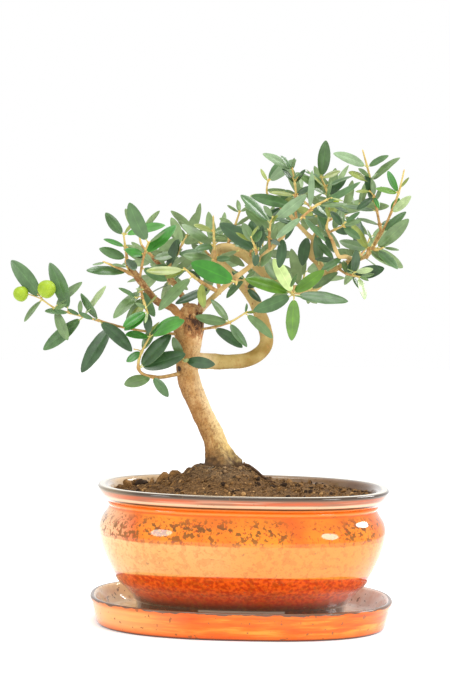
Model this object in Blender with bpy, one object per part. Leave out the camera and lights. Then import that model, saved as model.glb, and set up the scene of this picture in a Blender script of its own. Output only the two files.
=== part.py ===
"""An olive bonsai in a glazed oval pot, standing on its drip tray.

Metres, +Z up. The origin is the centre of the tray's flat underside. +X runs to the right
and +Y away from the front. The tree is a trunk, its boughs and masses of foliage. Each mass
is one main twig, with side twigs and opposite pairs of leaves that follow a seeded rule.
"""

import math
import random
from dataclasses import dataclass, field

import bmesh
import bpy
from mathutils import Matrix, Vector

UP = Vector((0.0, 0.0, 1.0))

# Clearance between pieces that touch
GAP = 0.0003

# The oval of pot, tray and soil: a superellipse whose half depth is its half length less a
# fixed difference
OVAL_POWER = 2.44
OVAL_DIFFERENCE = 0.024
OVAL_STEPS = 40

# Drip tray
TRAY_RIM = 0.0970
TRAY_RIM_TOP = 0.0178
TRAY_BASE = 0.0923
TRAY_WALL = 0.0042
TRAY_FLOOR = 0.0060

# Pot
POT_BASE = TRAY_FLOOR + GAP
POT_FOOT = 0.0667
POT_RIM = 0.0933
POT_RIM_TOP = 0.0888
POT_LIP = 0.0088
POT_LIP_DEPTH = 0.0025
POT_WALL = 0.0058
POT_FLOOR = 0.0210
POT_FLOOR_HALF = 0.0640
POT_NECK = 0.0720
POT_INSIDE_HEIGHTS = (POT_NECK, 0.0590, 0.0287)

# Outside of the pot, as half lengths at heights, from the foot up to the rim
POT_SIDE = (
    (0.0692, 0.0155), (0.0713, 0.0187), (0.0753, 0.0235), (0.0804, 0.0287), (0.0860, 0.0390),
    (0.0902, 0.0490), (0.0925, 0.0590), (0.0910, 0.0665), (0.0876, POT_NECK), (0.0859, 0.0756),
)

# Soil: its height at the pot's wall, at the top of its dome and under the trunk
SOIL_EDGE = 0.0835
SOIL_DOME = 0.0052
SOIL_FOOT = 0.1005
SOIL_FOOT_RADIUS = 0.0145
SOIL_SLOPE_RADIUS = 0.0150
SOIL_RING_SHARES = (0.92, 0.76, 0.58)
SOIL_RING_RADII = (0.0310, 0.0215, SOIL_FOOT_RADIUS)

# Trunk: centre line and radius, from its flat cut on the soil to the knot at its top
TRUNK = (
    (-0.0145, 0.000, SOIL_FOOT + GAP, 0.0128), (-0.0158, 0.000, 0.1055, 0.0100),
    (-0.0175, 0.000, 0.1110, 0.0083), (-0.0200, 0.000, 0.1200, 0.0070),
    (-0.0280, 0.001, 0.1355, 0.0067), (-0.0360, 0.001, 0.1540, 0.0071),
    (-0.0380, 0.000, 0.1670, 0.0068), (-0.0370, -0.001, 0.1790, 0.0082),
    (-0.0372, -0.001, 0.1880, 0.0098), (-0.0365, -0.001, 0.1945, 0.0090),
    (-0.0358, 0.000, 0.2000, 0.0066), (-0.0352, 0.001, 0.2040, 0.0034),
)
TRUNK_SIDES = 14
ROOT_LOBES = 5
ROOT_LOBE_DEPTH = 0.16
ROOT_LOBE_HEIGHT = 0.014

# Leaves and twigs
LEAF_THICKNESS = 0.0006
LEAF_RINGS = (0.0, 0.36, 0.74)
LEAF_ROOT = 0.00060
LEAF_SPREAD = 52.0
BLADE_FULLNESS = 0.68
PETIOLE_WIDTH = 0.0011
PETIOLE_SHARE = 0.11
LONG_LEAF = 0.024
ROUNDER_PER_METRE = 9.0
OUTWARD_PER_METRE = 3.0
BACK_FROM = 0.014
TWIG_ROOT_RADIUS = 0.00105
TWIG_TIP_RADIUS = 0.00070
TWIG_SIDES = 3
LEAF_BALL = 0.0015
TWIG_BALL = 0.0008
BALL_STEP = 0.0015
GRID = 0.012
FOLLOW_STEP = 0.0020
TRIES = 12
TREE_SEED = 20


@dataclass
class Limb:
    """One tapering limb. It starts in the limb named by `carrier`, or follows on from its tip."""

    name: str
    carrier: str
    points: tuple
    radii: tuple
    follows_on: bool = False
    sides: int = 8


@dataclass
class Mass:
    """One mass of foliage on a main twig. `roll` turns its first pair of leaves, `gap` is the
    distance between pairs, and `sides` is the share of leaves that a side twig replaces. Where
    `posed` has a row for each node, the nodes are spaced evenly from `bare` to the tip instead.
    A row gives each leaf's angle, seen from the front and anticlockwise from +X, and its length
    in millimetres. `stem` and `broad` are shares of the usual thickness and leaf width."""

    name: str
    carrier: str
    points: tuple
    leaf: float = 0.026
    gap: float = 0.0105
    roll: float = 20.0
    sides: float = 0.30
    bare: float = 0.006
    lean: float = 36.0
    follows_on: bool = False
    seed: int = 0
    stem: float = 1.0
    broad: float = 1.0
    posed: tuple = ()
    fruits: tuple = ()


@dataclass
class Twig:
    points: list
    radii: list


@dataclass
class Leaf:
    root: Vector
    along: Vector
    face: Vector
    length: float
    width: float
    droop: float


@dataclass
class Growth:
    twigs: list = field(default_factory=list)
    leaves: list = field(default_factory=list)
    fruits: list = field(default_factory=list)


# The low bough's one long course, which swings right, back and right again
SWEEP = (
    (-0.036, 0.000, 0.168), (-0.014, 0.002, 0.1675), (0.001, 0.006, 0.169), (0.0105, 0.010, 0.175),
    (0.013, 0.014, 0.183), (0.010, 0.018, 0.194), (0.005, 0.022, 0.206), (-0.003, 0.026, 0.217),
    (-0.014, 0.028, 0.226), (-0.0205, 0.028, 0.233), (-0.019, 0.026, 0.2395), (-0.011, 0.024, 0.240),
    (-0.001, 0.022, 0.235), (0.009, 0.020, 0.226), (0.020, 0.018, 0.218), (0.032, 0.018, 0.214),
    (0.043, 0.018, 0.2155), (0.049, 0.016, 0.2225), (0.0465, 0.014, 0.2305), (0.040, 0.012, 0.237),
)
SWEEP_RADII = (0.0052, 0.0046, 0.0043, 0.0036, 0.0032, 0.0027, 0.0023)
SWEEP_PIECES = {
    "low_bough": (0, 3), "rising_bough": (3, 7), "turning_bough": (7, 11),
    "crossing_bough": (11, 16), "elbow_bough": (16, 19),
}

LIMBS = (
    Limb("leader", "elbow_bough",
         ((0.040, 0.012, 0.237), (0.0435, 0.010, 0.251), (0.050, 0.008, 0.266)),
         (0.0021, 0.0014), follows_on=True),
    Limb("right_bough", "elbow_bough",
         ((0.049, 0.016, 0.2225), (0.062, 0.007, 0.232), (0.076, 0.000, 0.238), (0.083, -0.004, 0.252)),
         (0.0019, 0.0013)),
    Limb("upper_left_bough", "leader",
         ((0.0425, 0.0105, 0.246), (0.034, 0.010, 0.254), (0.024, 0.010, 0.265)),
         (0.0016, 0.0012)),
    Limb("right_stub", "right_bough",
         ((0.067, 0.004, 0.2345), (0.062, -0.004, 0.2365), (0.057, -0.008, 0.237), (0.053, -0.009, 0.246)),
         (0.0016, 0.0012)),
    Limb("front_bough", "trunk",
         ((-0.034, -0.003, 0.190), (-0.0285, -0.008, 0.2015), (-0.014, -0.015, 0.217),
          (0.000, -0.021, 0.2285), (0.013, -0.024, 0.240), (0.0265, -0.027, 0.2545)),
         (0.0021, 0.0012)),
    Limb("left_bough", "trunk",
         ((-0.038, -0.003, 0.189), (-0.047, -0.006, 0.2010), (-0.058, -0.009, 0.206),
          (-0.0665, -0.012, 0.216), (-0.0765, -0.014, 0.229)),
         (0.0028, 0.0020)),
    Limb("rear_bough", "trunk",
         ((-0.037, 0.002, 0.189), (-0.0395, 0.0085, 0.204), (-0.049, 0.011, 0.219), (-0.062, 0.014, 0.234)),
         (0.0024, 0.0014)),
    Limb("brown_stub", "trunk",
         ((-0.0350, 0.0000, 0.190), (-0.0310, 0.0015, 0.201), (-0.0300, 0.0020, 0.208)),
         (0.0022, 0.0013)),
)

MASSES = (
    Mass("far_left_foliage", "trunk",
         ((-0.038, -0.002, 0.1850), (-0.056, -0.009, 0.1855), (-0.079, -0.015, 0.189),
          (-0.094, -0.018, 0.193), (-0.110, -0.020, 0.197), (-0.121, -0.021, 0.200), (-0.130, -0.022, 0.206)),
         bare=0.050, seed=1, broad=1.1,
         posed=((235, 37), (124, 22, -40, 30), (58, 24, 218, 34), (113, 34, 171, 17), (47, 25, -68, 22),
                (131, 32, 229, 18)),
         fruits=((-0.1265, -0.026, 0.2125, 0.0057), (-0.1430, -0.022, 0.2090, 0.0048))),
    Mass("low_left_foliage", "trunk",
         ((-0.037, 0.000, 0.161), (-0.054, -0.010, 0.1575), (-0.0655, -0.013, 0.1595),
          (-0.0685, -0.014, 0.165), (-0.0665, -0.015, 0.1735), (-0.061, -0.018, 0.184)),
         bare=0.026, seed=2, stem=1.45, broad=1.25,
         posed=((195, 21, -50, 17), (48, 31, 22, 31), (213, 12, 62, 18), (31, 28, 172, 18))),
    Mass("fork_foliage", "trunk",
         ((-0.037, 0.000, 0.170), (-0.0385, -0.008, 0.169), (-0.0405, -0.013, 0.168)),
         bare=0.011, seed=32, broad=1.15, posed=((-4, 23, 118, 17),)),
    Mass("front_left_foliage", "left_bough",
         ((-0.067, -0.0125, 0.2155), (-0.067, -0.018, 0.210), (-0.063, -0.023, 0.199)),
         bare=0.004, seed=3, broad=1.1,
         posed=((225, 28, -62, 19), (240, 22), (229, 14), (212, 20, -85, 14))),
    Mass("left_tip_foliage", "left_bough",
         ((-0.0765, -0.014, 0.229), (-0.0777, -0.014, 0.2365), (-0.0795, -0.013, 0.248)),
         bare=0.004, follows_on=True, seed=4, broad=1.15,
         posed=((159, 19, -47, 14), (160, 15, -28, 14), (128, 19, 19, 28))),
    Mass("left_rising_foliage", "left_bough",
         ((-0.069, -0.0125, 0.2185), (-0.066, -0.019, 0.235), (-0.063, -0.025, 0.243)),
         bare=0.009, seed=5, broad=1.25, posed=((-24, 18), (47, 28, 165, 13), (116, 29))),
    Mass("left_outer_foliage", "left_bough",
         ((-0.0725, -0.013, 0.222), (-0.081, -0.017, 0.226), (-0.091, -0.020, 0.230)),
         bare=0.004, seed=6, stem=1.3, posed=((172, 27), ())),
    Mass("left_crown_foliage", "rear_bough",
         ((-0.062, 0.014, 0.234), (-0.069, 0.018, 0.241), (-0.071, 0.025, 0.248)),
         bare=0.005, follows_on=True, seed=7, posed=((165, 17, -10, 17), (120, 20, 57, 22))),
    Mass("left_upper_foliage", "rear_bough",
         ((-0.053, 0.0118, 0.223), (-0.047, 0.010, 0.234), (-0.0425, 0.015, 0.243), (-0.040, 0.022, 0.248)),
         bare=0.006, seed=8, broad=1.15,
         posed=((75, 18, 195, 16), (11, 17, 190, 15), (112, 21, 30, 15), (65, 19, 150, 12))),
    Mass("middle_left_foliage", "front_bough",
         ((-0.0185, -0.0125, 0.2125), (-0.026, -0.016, 0.2165), (-0.033, -0.021, 0.221),
          (-0.040, -0.028, 0.227)),
         bare=0.006, seed=9, stem=1.45,
         posed=((203, 25), (138, 11, -84, 19), (223, 31), (181, 25, 204, 14))),
    Mass("middle_foliage", "front_bough",
         ((-0.0177, -0.0130, 0.2138), (-0.0205, -0.009, 0.2245), (-0.022, -0.007, 0.242),
          (-0.023, -0.006, 0.260)),
         bare=0.020, seed=10, stem=1.3, broad=1.1,
         posed=((171, 21, 10, 10), (143, 25, 187, 14), (156, 14, 20, 10), ())),
    Mass("front_low_foliage", "front_bough",
         ((-0.009, -0.018, 0.2215), (-0.0075, -0.0235, 0.220), (-0.0075, -0.0265, 0.218)),
         bare=0.008, seed=40, broad=1.4, posed=((157, 31),)),
    Mass("front_middle_foliage", "front_bough",
         ((0.005, -0.0225, 0.233), (0.0045, -0.029, 0.239), (0.002, -0.035, 0.245)),
         bare=0.008, seed=11, broad=1.2, posed=((143, 30, -95, 9), (100, 17), (118, 15, 55, 10))),
    Mass("middle_top_foliage", "front_bough",
         ((0.013, -0.0245, 0.2405), (0.0125, -0.028, 0.249), (0.013, -0.029, 0.257)),
         bare=0.007, seed=41, broad=1.15, posed=((150, 10, -30, 9), (143, 20), (137, 29, 42, 29))),
    Mass("front_tip_foliage", "front_bough",
         ((0.0265, -0.027, 0.2545), (0.034, -0.029, 0.262), (0.041, -0.031, 0.268), (0.048, -0.034, 0.272)),
         bare=0.003, follows_on=True, seed=12, broad=0.66,
         posed=((160, 16, 238, 15), (219, 26, -43, 22), (88, 25, -20, 12), (30, 30, 4, 19),
                (75, 14, -30, 14))),
    Mass("star_foliage", "crossing_bough",
         ((0.018, 0.019, 0.2185), (0.025, 0.004, 0.2145), (0.029, -0.024, 0.2115)),
         bare=0.036, lean=10.0, seed=13, broad=1.15,
         posed=((160, 31, 39, 25), (203, 27, 118, 26), (0, 34, -90, 29))),
    Mass("low_right_foliage", "trunk",
         ((-0.037, -0.001, 0.187), (-0.021, -0.008, 0.190), (-0.010, -0.012, 0.194), (-0.001, -0.014, 0.200)),
         bare=0.017, seed=14, posed=((-32, 23), (-52, 22, 171, 22, 128, 19), (-39, 24))),
    Mass("arch_top_foliage", "turning_bough",
         ((-0.0145, 0.0245, 0.2402), (-0.010, 0.024, 0.252), (-0.006, 0.0235, 0.2645)),
         bare=0.006, seed=15, posed=((160, 14, 200, 14), (35, 13, 150, 12), (146, 10, 100, 9))),
    Mass("arch_front_foliage", "crossing_bough",
         ((0.001, 0.0215, 0.2335), (0.0025, 0.012, 0.244), (0.0035, 0.008, 0.256)),
         bare=0.008, seed=16, posed=((150, 13, -60, 12), (25, 11, 200, 14), ())),
    Mass("leader_top_foliage", "leader",
         ((0.050, 0.008, 0.266), (0.050, 0.008, 0.276), (0.0455, 0.008, 0.287)),
         bare=0.003, follows_on=True, seed=17,
         posed=((200, 14, -15, 14), (47, 17, 142, 28), (27, 21, 118, 12, 140, 20), (86, 27, 25, 13)),
         fruits=((0.0545, 0.000, 0.2725, 0.0028),)),
    Mass("upper_left_foliage", "upper_left_bough",
         ((0.024, 0.010, 0.265), (0.0165, 0.008, 0.270), (0.011, 0.006, 0.2762), (0.0115, 0.006, 0.284)),
         bare=0.004, follows_on=True, seed=18, broad=1.1,
         posed=((75, 12, 215, 14), (175, 13), (57, 20, 31, 25))),
    Mass("upper_front_foliage", "upper_left_bough",
         ((0.031, 0.010, 0.257), (0.029, 0.001, 0.268), (0.029, -0.006, 0.278), (0.0265, -0.008, 0.2915)),
         bare=0.014, seed=19,
         posed=((163, 29, -25, 13), (169, 17, 35, 12), (131, 14, 55, 12), (150, 23, 130, 14))),
    Mass("right_upper_foliage", "right_bough",
         ((0.083, -0.004, 0.252), (0.0825, -0.006, 0.259), (0.0785, -0.009, 0.2755), (0.075, -0.009, 0.290),
          (0.071, -0.009, 0.3035)),
         bare=0.005, follows_on=True, seed=20,
         posed=((160, 15, 30, 10), (170, 24), (215, 14, -65, 9, 100, 13), (46, 24, 80, 11, 156, 17),
                (157, 26, 30, 16), ())),
    Mass("right_outer_foliage", "right_bough",
         ((0.0795, -0.0020, 0.2435), (0.085, -0.010, 0.254), (0.0905, -0.014, 0.268), (0.094, -0.017, 0.279),
          (0.0965, -0.018, 0.2912)),
         bare=0.013, seed=42, posed=((46, 21), (62, 11, 44, 18), (119, 16, 166, 17), ())),
    Mass("right_low_foliage", "right_bough",
         ((0.0757, 0.000, 0.2373), (0.0768, -0.005, 0.2422), (0.0812, -0.009, 0.2415),
          (0.0855, -0.013, 0.243)),
         bare=0.006, seed=22, stem=1.3, broad=1.1,
         posed=((-25, 20, 125, 23, 163, 20), (46, 31, -38, 20), ())),
    Mass("right_under_foliage", "right_bough",
         ((0.0580, 0.0098, 0.2290), (0.062, 0.002, 0.226), (0.0675, -0.005, 0.2245), (0.071, -0.007, 0.2238)),
         bare=0.011, seed=23, broad=1.3, posed=((100, 9), (80, 17, 14, 21, -50, 11), (-70, 16))),
    Mass("right_middle_foliage", "leader",
         ((0.0430, 0.0102, 0.249), (0.051, -0.005, 0.252), (0.059, -0.021, 0.256)),
         bare=0.010, seed=24, broad=1.2, posed=((110, 15, -55, 14), (70, 14, 10, 14), (130, 14, -35, 14))),
    Mass("stub_tip_foliage", "right_stub",
         ((0.053, -0.009, 0.246), (0.049, -0.013, 0.254), (0.050, -0.016, 0.261)),
         bare=0.003, follows_on=True, seed=25,
         posed=((60, 10, 150, 16), (110, 16, 20, 14), (130, 14, 60, 12))),
    Mass("back_leader_foliage", "leader",
         ((0.0455, 0.0095, 0.256), (0.054, 0.026, 0.261), (0.060, 0.044, 0.266)),
         leaf=0.027, gap=0.009, roll=20, sides=0.3, seed=26),
    Mass("back_arch_foliage", "crossing_bough",
         ((0.009, 0.020, 0.226), (0.011, 0.036, 0.235), (0.009, 0.052, 0.245)),
         leaf=0.027, gap=0.009, roll=20, sides=0.3, seed=27),
    Mass("back_right_foliage", "right_bough",
         ((0.070, 0.003, 0.2355), (0.076, 0.021, 0.242), (0.080, 0.040, 0.250)),
         leaf=0.027, gap=0.009, roll=20, sides=0.3, seed=28),
    Mass("back_left_foliage", "rear_bough",
         ((-0.0465, 0.0088, 0.215), (-0.056, 0.028, 0.222), (-0.063, 0.046, 0.230)),
         leaf=0.027, gap=0.009, roll=20, sides=0.2, seed=39),
    Mass("back_middle_foliage", "turning_bough",
         ((-0.0205, 0.028, 0.233), (-0.027, 0.041, 0.237), (-0.031, 0.056, 0.243)),
         leaf=0.027, gap=0.009, roll=20, sides=0.3, seed=30),
    Mass("back_top_foliage", "leader",
         ((0.0470, 0.0088, 0.259), (0.040, 0.024, 0.268), (0.032, 0.038, 0.275)),
         leaf=0.026, gap=0.009, roll=20, sides=0.2, seed=33),
    Mass("back_low_foliage", "crossing_bough",
         ((0.0320, 0.018, 0.214), (0.036, 0.034, 0.218), (0.038, 0.048, 0.226)),
         leaf=0.026, gap=0.009, roll=20, sides=0.2, seed=34),
    Mass("centre_foliage", "rising_bough",
         ((0.000, 0.0235, 0.2125), (-0.001, 0.010, 0.216), (-0.002, -0.002, 0.221)),
         bare=0.010, seed=31, posed=((-40, 13, 35, 12), (222, 17, 150, 10))),
)


def smooth(points, steps):
    """Points on a Catmull-Rom curve through the given ones, with `steps` spans between each two."""
    knots = [Vector(p) for p in points]
    knots = [2 * knots[0] - knots[1], *knots, 2 * knots[-1] - knots[-2]]
    out = []
    for a, b, c, d in zip(knots, knots[1:], knots[2:], knots[3:]):
        for k in range(steps):
            t = k / steps
            out.append(0.5 * (2 * b + (c - a) * t + (2 * a - 5 * b + 4 * c - d) * t**2
                              + (3 * b - a - 3 * c + d) * t**3))
    out.append(knots[-2])
    return out


def blend(values, share):
    """The value at `share` of the way along a list of evenly spaced values."""
    place = min(max(share, 0.0), 1.0) * (len(values) - 1)
    first = min(int(place), len(values) - 2)
    return values[first] + (values[first + 1] - values[first]) * (place - first)


def tapering(points, radii):
    """Radii for each point, by the length of the line so far."""
    lengths = [0.0]
    for a, b in zip(points, points[1:]):
        lengths.append(lengths[-1] + (b - a).length)
    return [blend(radii, length / lengths[-1]) for length in lengths]


def tangents(points):
    ends = [points[0], *points, points[-1]]
    return [(c - a).normalized() for a, c in zip(ends, ends[2:])]


def across(direction, hint=UP):
    """A unit vector at right angles to `direction`, as near `hint` as it can be."""
    side = hint - direction * hint.dot(direction)
    if side.length < 0.05:
        side = Vector((1.0, 0.0, 0.0)) - direction * direction.x
    return side.normalized()


def tube_rings(points, radii, sides):
    """Rings round a line, turned as little as possible from one to the next."""
    rings = []
    side = across(tangents(points)[0])
    for point, along, radius in zip(points, tangents(points), radii):
        side = across(along, side)
        other = along.cross(side)
        ring = []
        for i in range(sides):
            angle = 2 * math.pi * i / sides
            ring.append(point + radius * (side * math.cos(angle) + other * math.sin(angle)))
        rings.append(ring)
    return rings


def lofted(name, rings, material):
    """A closed body through rings of points. A ring of one point is a tip, and others get a cap."""
    mesh = bmesh.new()
    rows = [[mesh.verts.new(p) for p in ring] for ring in rings]
    for low, high in zip(rows, rows[1:]):
        count = max(len(low), len(high))
        for i in range(count):
            j = (i + 1) % count
            if len(low) == 1:
                mesh.faces.new((low[0], high[j], high[i]))
            elif len(high) == 1:
                mesh.faces.new((low[i], low[j], high[0]))
            else:
                mesh.faces.new((low[i], low[j], high[j], high[i]))
    for row in (rows[0], rows[-1]):
        if len(row) > 2:
            mesh.faces.new(row)
    bmesh.ops.recalc_face_normals(mesh, faces=mesh.faces)
    data = bpy.data.meshes.new(name)
    mesh.to_mesh(data)
    mesh.free()
    data.shade_smooth()
    data.set_sharp_from_angle(angle=math.radians(40))
    data.materials.append(material)
    return bpy.data.objects.new(name, data)


def oval(half_length, height):
    """One level ring of the pot's oval."""
    return [Vector((x, y, height)) for x, y in outline(half_length, half_length - OVAL_DIFFERENCE)]


def outline(half_length, half_depth, centre_x=0.0):
    """Points round a superellipse."""
    points = []
    for i in range(OVAL_STEPS):
        angle = 2 * math.pi * i / OVAL_STEPS
        c, s = math.cos(angle), math.sin(angle)
        x = centre_x + half_length * math.copysign(abs(c) ** (2 / OVAL_POWER), c)
        points.append((x, half_depth * math.copysign(abs(s) ** (2 / OVAL_POWER), s)))
    return points


def make_tray(material):
    profile = (
        (TRAY_BASE - 0.0012, 0.0), (TRAY_BASE, 0.0010), (TRAY_BASE + 0.0015, 0.0060),
        (TRAY_RIM - 0.0004, TRAY_RIM_TOP - 0.0020), (TRAY_RIM, TRAY_RIM_TOP - 0.0010),
        (TRAY_RIM - 0.0008, TRAY_RIM_TOP), (TRAY_RIM - 0.0030, TRAY_RIM_TOP - 0.0002),
        (TRAY_RIM - TRAY_WALL, TRAY_RIM_TOP - 0.0016),
        (TRAY_BASE - TRAY_WALL, TRAY_FLOOR + 0.0012), (TRAY_BASE - TRAY_WALL - 0.0025, TRAY_FLOOR),
    )
    return lofted("drip_tray", [oval(a, z) for a, z in profile], material)


def pot_inside(height):
    """Half length of the pot's inner wall at a height."""
    if height > POT_NECK:
        share = (height - POT_NECK) / (POT_RIM_TOP - POT_LIP_DEPTH - POT_NECK)
        return pot_inside(POT_NECK) + (POT_RIM - POT_LIP - pot_inside(POT_NECK)) * share
    for (a, low), (b, high) in zip(POT_SIDE, POT_SIDE[1:]):
        if height <= high:
            return a + (b - a) * (height - low) / (high - low) - POT_WALL


def make_pot(material):
    foot = ((POT_FOOT - 0.0010, POT_BASE), (POT_FOOT, POT_BASE + 0.0010), (POT_FOOT + 0.0010, 0.0145))
    rim = (
        (0.0864, 0.0788), (0.0906, 0.0822), (POT_RIM, POT_RIM_TOP - 0.0020),
        (POT_RIM - 0.0005, POT_RIM_TOP - 0.0003), (POT_RIM - 0.0030, POT_RIM_TOP),
        (POT_RIM - POT_LIP + 0.0008, POT_RIM_TOP - 0.0008), (POT_RIM - POT_LIP, POT_RIM_TOP - POT_LIP_DEPTH),
    )
    inside = [(pot_inside(z), z) for z in POT_INSIDE_HEIGHTS]
    profile = (*foot, *POT_SIDE, *rim, *inside, (POT_FLOOR_HALF, POT_FLOOR))
    return lofted("pot", [oval(a, z) for a, z in profile], material)


def soil_height(x, y):
    """A low dome with a mound round the trunk's foot, and gentle lumps."""
    half = pot_inside(SOIL_EDGE)
    out = math.hypot(x / half, y / (half - OVAL_DIFFERENCE))
    dome = SOIL_EDGE + SOIL_DOME * max(0.0, 1 - out**2.4)
    lumps = 0.0009 * math.sin(170 * x + 40 * y) * math.sin(150 * y - 60 * x + 1.0)
    distance = max(0.0, math.hypot(x - TRUNK[0][0], y) - SOIL_FOOT_RADIUS)
    mound = (SOIL_FOOT - dome) * math.exp(-((distance / SOIL_SLOPE_RADIUS) ** 1.5))
    return dome + mound + lumps * min(1.0, distance / SOIL_SLOPE_RADIUS) * max(0.0, 1.05 - out)


def make_soil(material):
    """The potful of soil, with a flat spot under the trunk."""
    foot_x = TRUNK[0][0]
    rings = [oval(POT_FLOOR_HALF - 2 * GAP, POT_FLOOR + GAP)]
    for z in reversed(POT_INSIDE_HEIGHTS):
        rings.append(oval(pot_inside(z) - GAP, z))
    edge = pot_inside(SOIL_EDGE) - 2 * GAP
    rings.append(oval(edge, SOIL_EDGE))
    for share in SOIL_RING_SHARES:
        ring = outline(edge * share, (edge - OVAL_DIFFERENCE) * share, foot_x * (1 - share))
        rings.append([Vector((x, y, soil_height(x, y))) for x, y in ring])
    for radius in SOIL_RING_RADII:
        ring = outline(radius, radius, foot_x)
        rings.append([Vector((x, y, soil_height(x, y))) for x, y in ring])
    for point in rings[-1]:
        point.z = SOIL_FOOT
    return lofted("soil", rings, material)


def trunk_line():
    """The trunk's smooth centre line, and the radius at each of its points."""
    radii = [TRUNK[0][3]]
    for a, b in zip(TRUNK, TRUNK[1:]):
        radii += [(a[3] + b[3]) / 2, b[3]]
    return smooth([row[:3] for row in TRUNK], 2), radii


def make_trunk(material, grown=0.0):
    """The trunk, with root lobes at its foot. `grown` makes it that much thicker all round."""
    points, radii = trunk_line()
    if grown:
        radii = [r + grown for r in radii]
        points[0].z -= grown
        points[-1] = points[-1] + grown * tangents(points)[-1]
    rings = tube_rings(points, radii, TRUNK_SIDES)
    base = points[0].z
    for point, ring in zip(points, rings):
        flare = max(0.0, 1 - (point.z - base) / ROOT_LOBE_HEIGHT)
        for vertex in ring:
            out = vertex - point
            lobe = math.cos(ROOT_LOBES * math.atan2(out.y, out.x) + 0.6)
            vertex += out * (ROOT_LOBE_DEPTH * flare * lobe)
    for vertex in rings[0]:
        vertex.z = base
    return lofted("trunk", rings, material)


def sweep_limbs():
    """The pieces of the long low bough, parted at each bend."""
    spans = len(SWEEP) - 1
    pieces = []
    carrier = "trunk"
    for name, (first, last) in SWEEP_PIECES.items():
        radii = tuple(blend(SWEEP_RADII, k / spans) for k in range(first, last + 1))
        pieces.append(Limb(name, carrier, SWEEP[first:last + 1], radii, carrier != "trunk", 10))
        carrier = name
    return pieces


def sweep_line(limb):
    """A piece of the low bough, cut from the one smooth course."""
    course = smooth(SWEEP, 2)
    first = SWEEP.index(limb.points[0]) * 2
    last = SWEEP.index(limb.points[-1]) * 2
    return course[first:last + 1]


class Tree:
    """The limbs' lines, and what already takes up room, as balls in a grid."""

    def __init__(self):
        self.lines = {}
        self.grid = {}
        self.limbs = [*sweep_limbs(), *LIMBS]
        self.set_line("trunk", *trunk_line())
        for limb in self.limbs:
            line = sweep_line(limb) if limb.name in SWEEP_PIECES else smooth(limb.points, 2)
            if limb.follows_on:
                line = self.follow_on(limb.carrier, line)
            self.set_line(limb.name, line, tapering(line, limb.radii))
        for mass in MASSES:
            line = smooth(mass.points, 2)
            if mass.follows_on:
                line = self.follow_on(mass.carrier, line)
            radii = tapering(line, (TWIG_ROOT_RADIUS * mass.stem, TWIG_TIP_RADIUS * mass.stem))
            self.lines[mass.name] = (line, radii)
            self.take_twig(mass.name, line)

    def take_twig(self, owner, points):
        for a, b in zip(points[1:], points[2:]):
            count = max(1, math.ceil((b - a).length / BALL_STEP))
            for k in range(count):
                self.take(owner, a.lerp(b, k / count), TWIG_BALL)

    def set_line(self, name, points, radii):
        self.lines[name] = (points, radii)
        for a, b, ra, rb in zip(points, points[1:], radii, radii[1:]):
            count = max(1, math.ceil((b - a).length / BALL_STEP))
            for k in range(count):
                self.take("limb", a.lerp(b, k / count), ra + (rb - ra) * k / count)

    def follow_on(self, carrier, line):
        """The same line, started square to the carrier's tip and a gap beyond it."""
        tip = self.lines[carrier][0][-1]
        along = tangents(self.lines[carrier][0])[-1]
        ahead = [p for p in line[1:] if (p - tip).dot(along) > 1.5 * FOLLOW_STEP]
        return [tip + along * GAP, tip + along * FOLLOW_STEP, *ahead]

    def take(self, owner, point, radius):
        cell = tuple(math.floor(c / GRID) for c in point)
        self.grid.setdefault(cell, []).append((owner, point, radius))

    def room(self, owner, point, radius, own_share=1.0):
        """True where a ball at `point` is clear of all others. It may come nearer its own mass."""
        cell = tuple(math.floor(c / GRID) for c in point)
        for dx in (-1, 0, 1):
            for dy in (-1, 0, 1):
                for dz in (-1, 0, 1):
                    near = self.grid.get((cell[0] + dx, cell[1] + dy, cell[2] + dz), ())
                    for other, centre, size in near:
                        reach = radius + size
                        if other == owner:
                            reach *= own_share
                        if (centre - point).length < reach:
                            return False
        return True


def leaf_shape(leaf, share):
    """Centre and half width of a leaf's blade at a share of its length."""
    bend = leaf.droop * share**2 * leaf.length
    centre = leaf.root + leaf.along * (leaf.length * share) - leaf.face * bend
    half = PETIOLE_WIDTH / 2
    if share > PETIOLE_SHARE:
        blade = min(1.0, (share - PETIOLE_SHARE) / (1 - PETIOLE_SHARE))
        half += (leaf.width - PETIOLE_WIDTH) / 2 * max(0.0, math.sin(math.pi * blade)) ** BLADE_FULLNESS
    return centre, half


def leaf_balls(leaf):
    """Points that fill a leaf's blade, each with its share of the length."""
    side = leaf.along.cross(leaf.face)
    for step in range(2, 11):
        share = step / 10
        centre, half = leaf_shape(leaf, share)
        yield share, centre
        inner = half - LEAF_BALL * 0.8
        if inner > 0.0004:
            yield share, centre + side * inner
            yield share, centre - side * inner


def leaf_fits(tree, name, leaf):
    for share, point in leaf_balls(leaf):
        if not tree.room(name, point, LEAF_BALL, 0.0 if share < 0.45 else 0.75):
            return False
    return True


def make_leaf(rng, root, tangent, along, length, width, swing):
    """A leaf whose upper side faces out of the crown and the sky, give or take `swing` degrees."""
    outward = Vector((OUTWARD_PER_METRE * root.x, -0.75 if root.y < BACK_FROM else 0.75, 0.45))
    face = across(along, outward + tangent * 0.25)
    face.rotate(Matrix.Rotation(math.radians(rng.uniform(-swing, swing)), 3, along))
    return Leaf(root, along, face, length, width, rng.uniform(0.02, 0.13))


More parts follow.
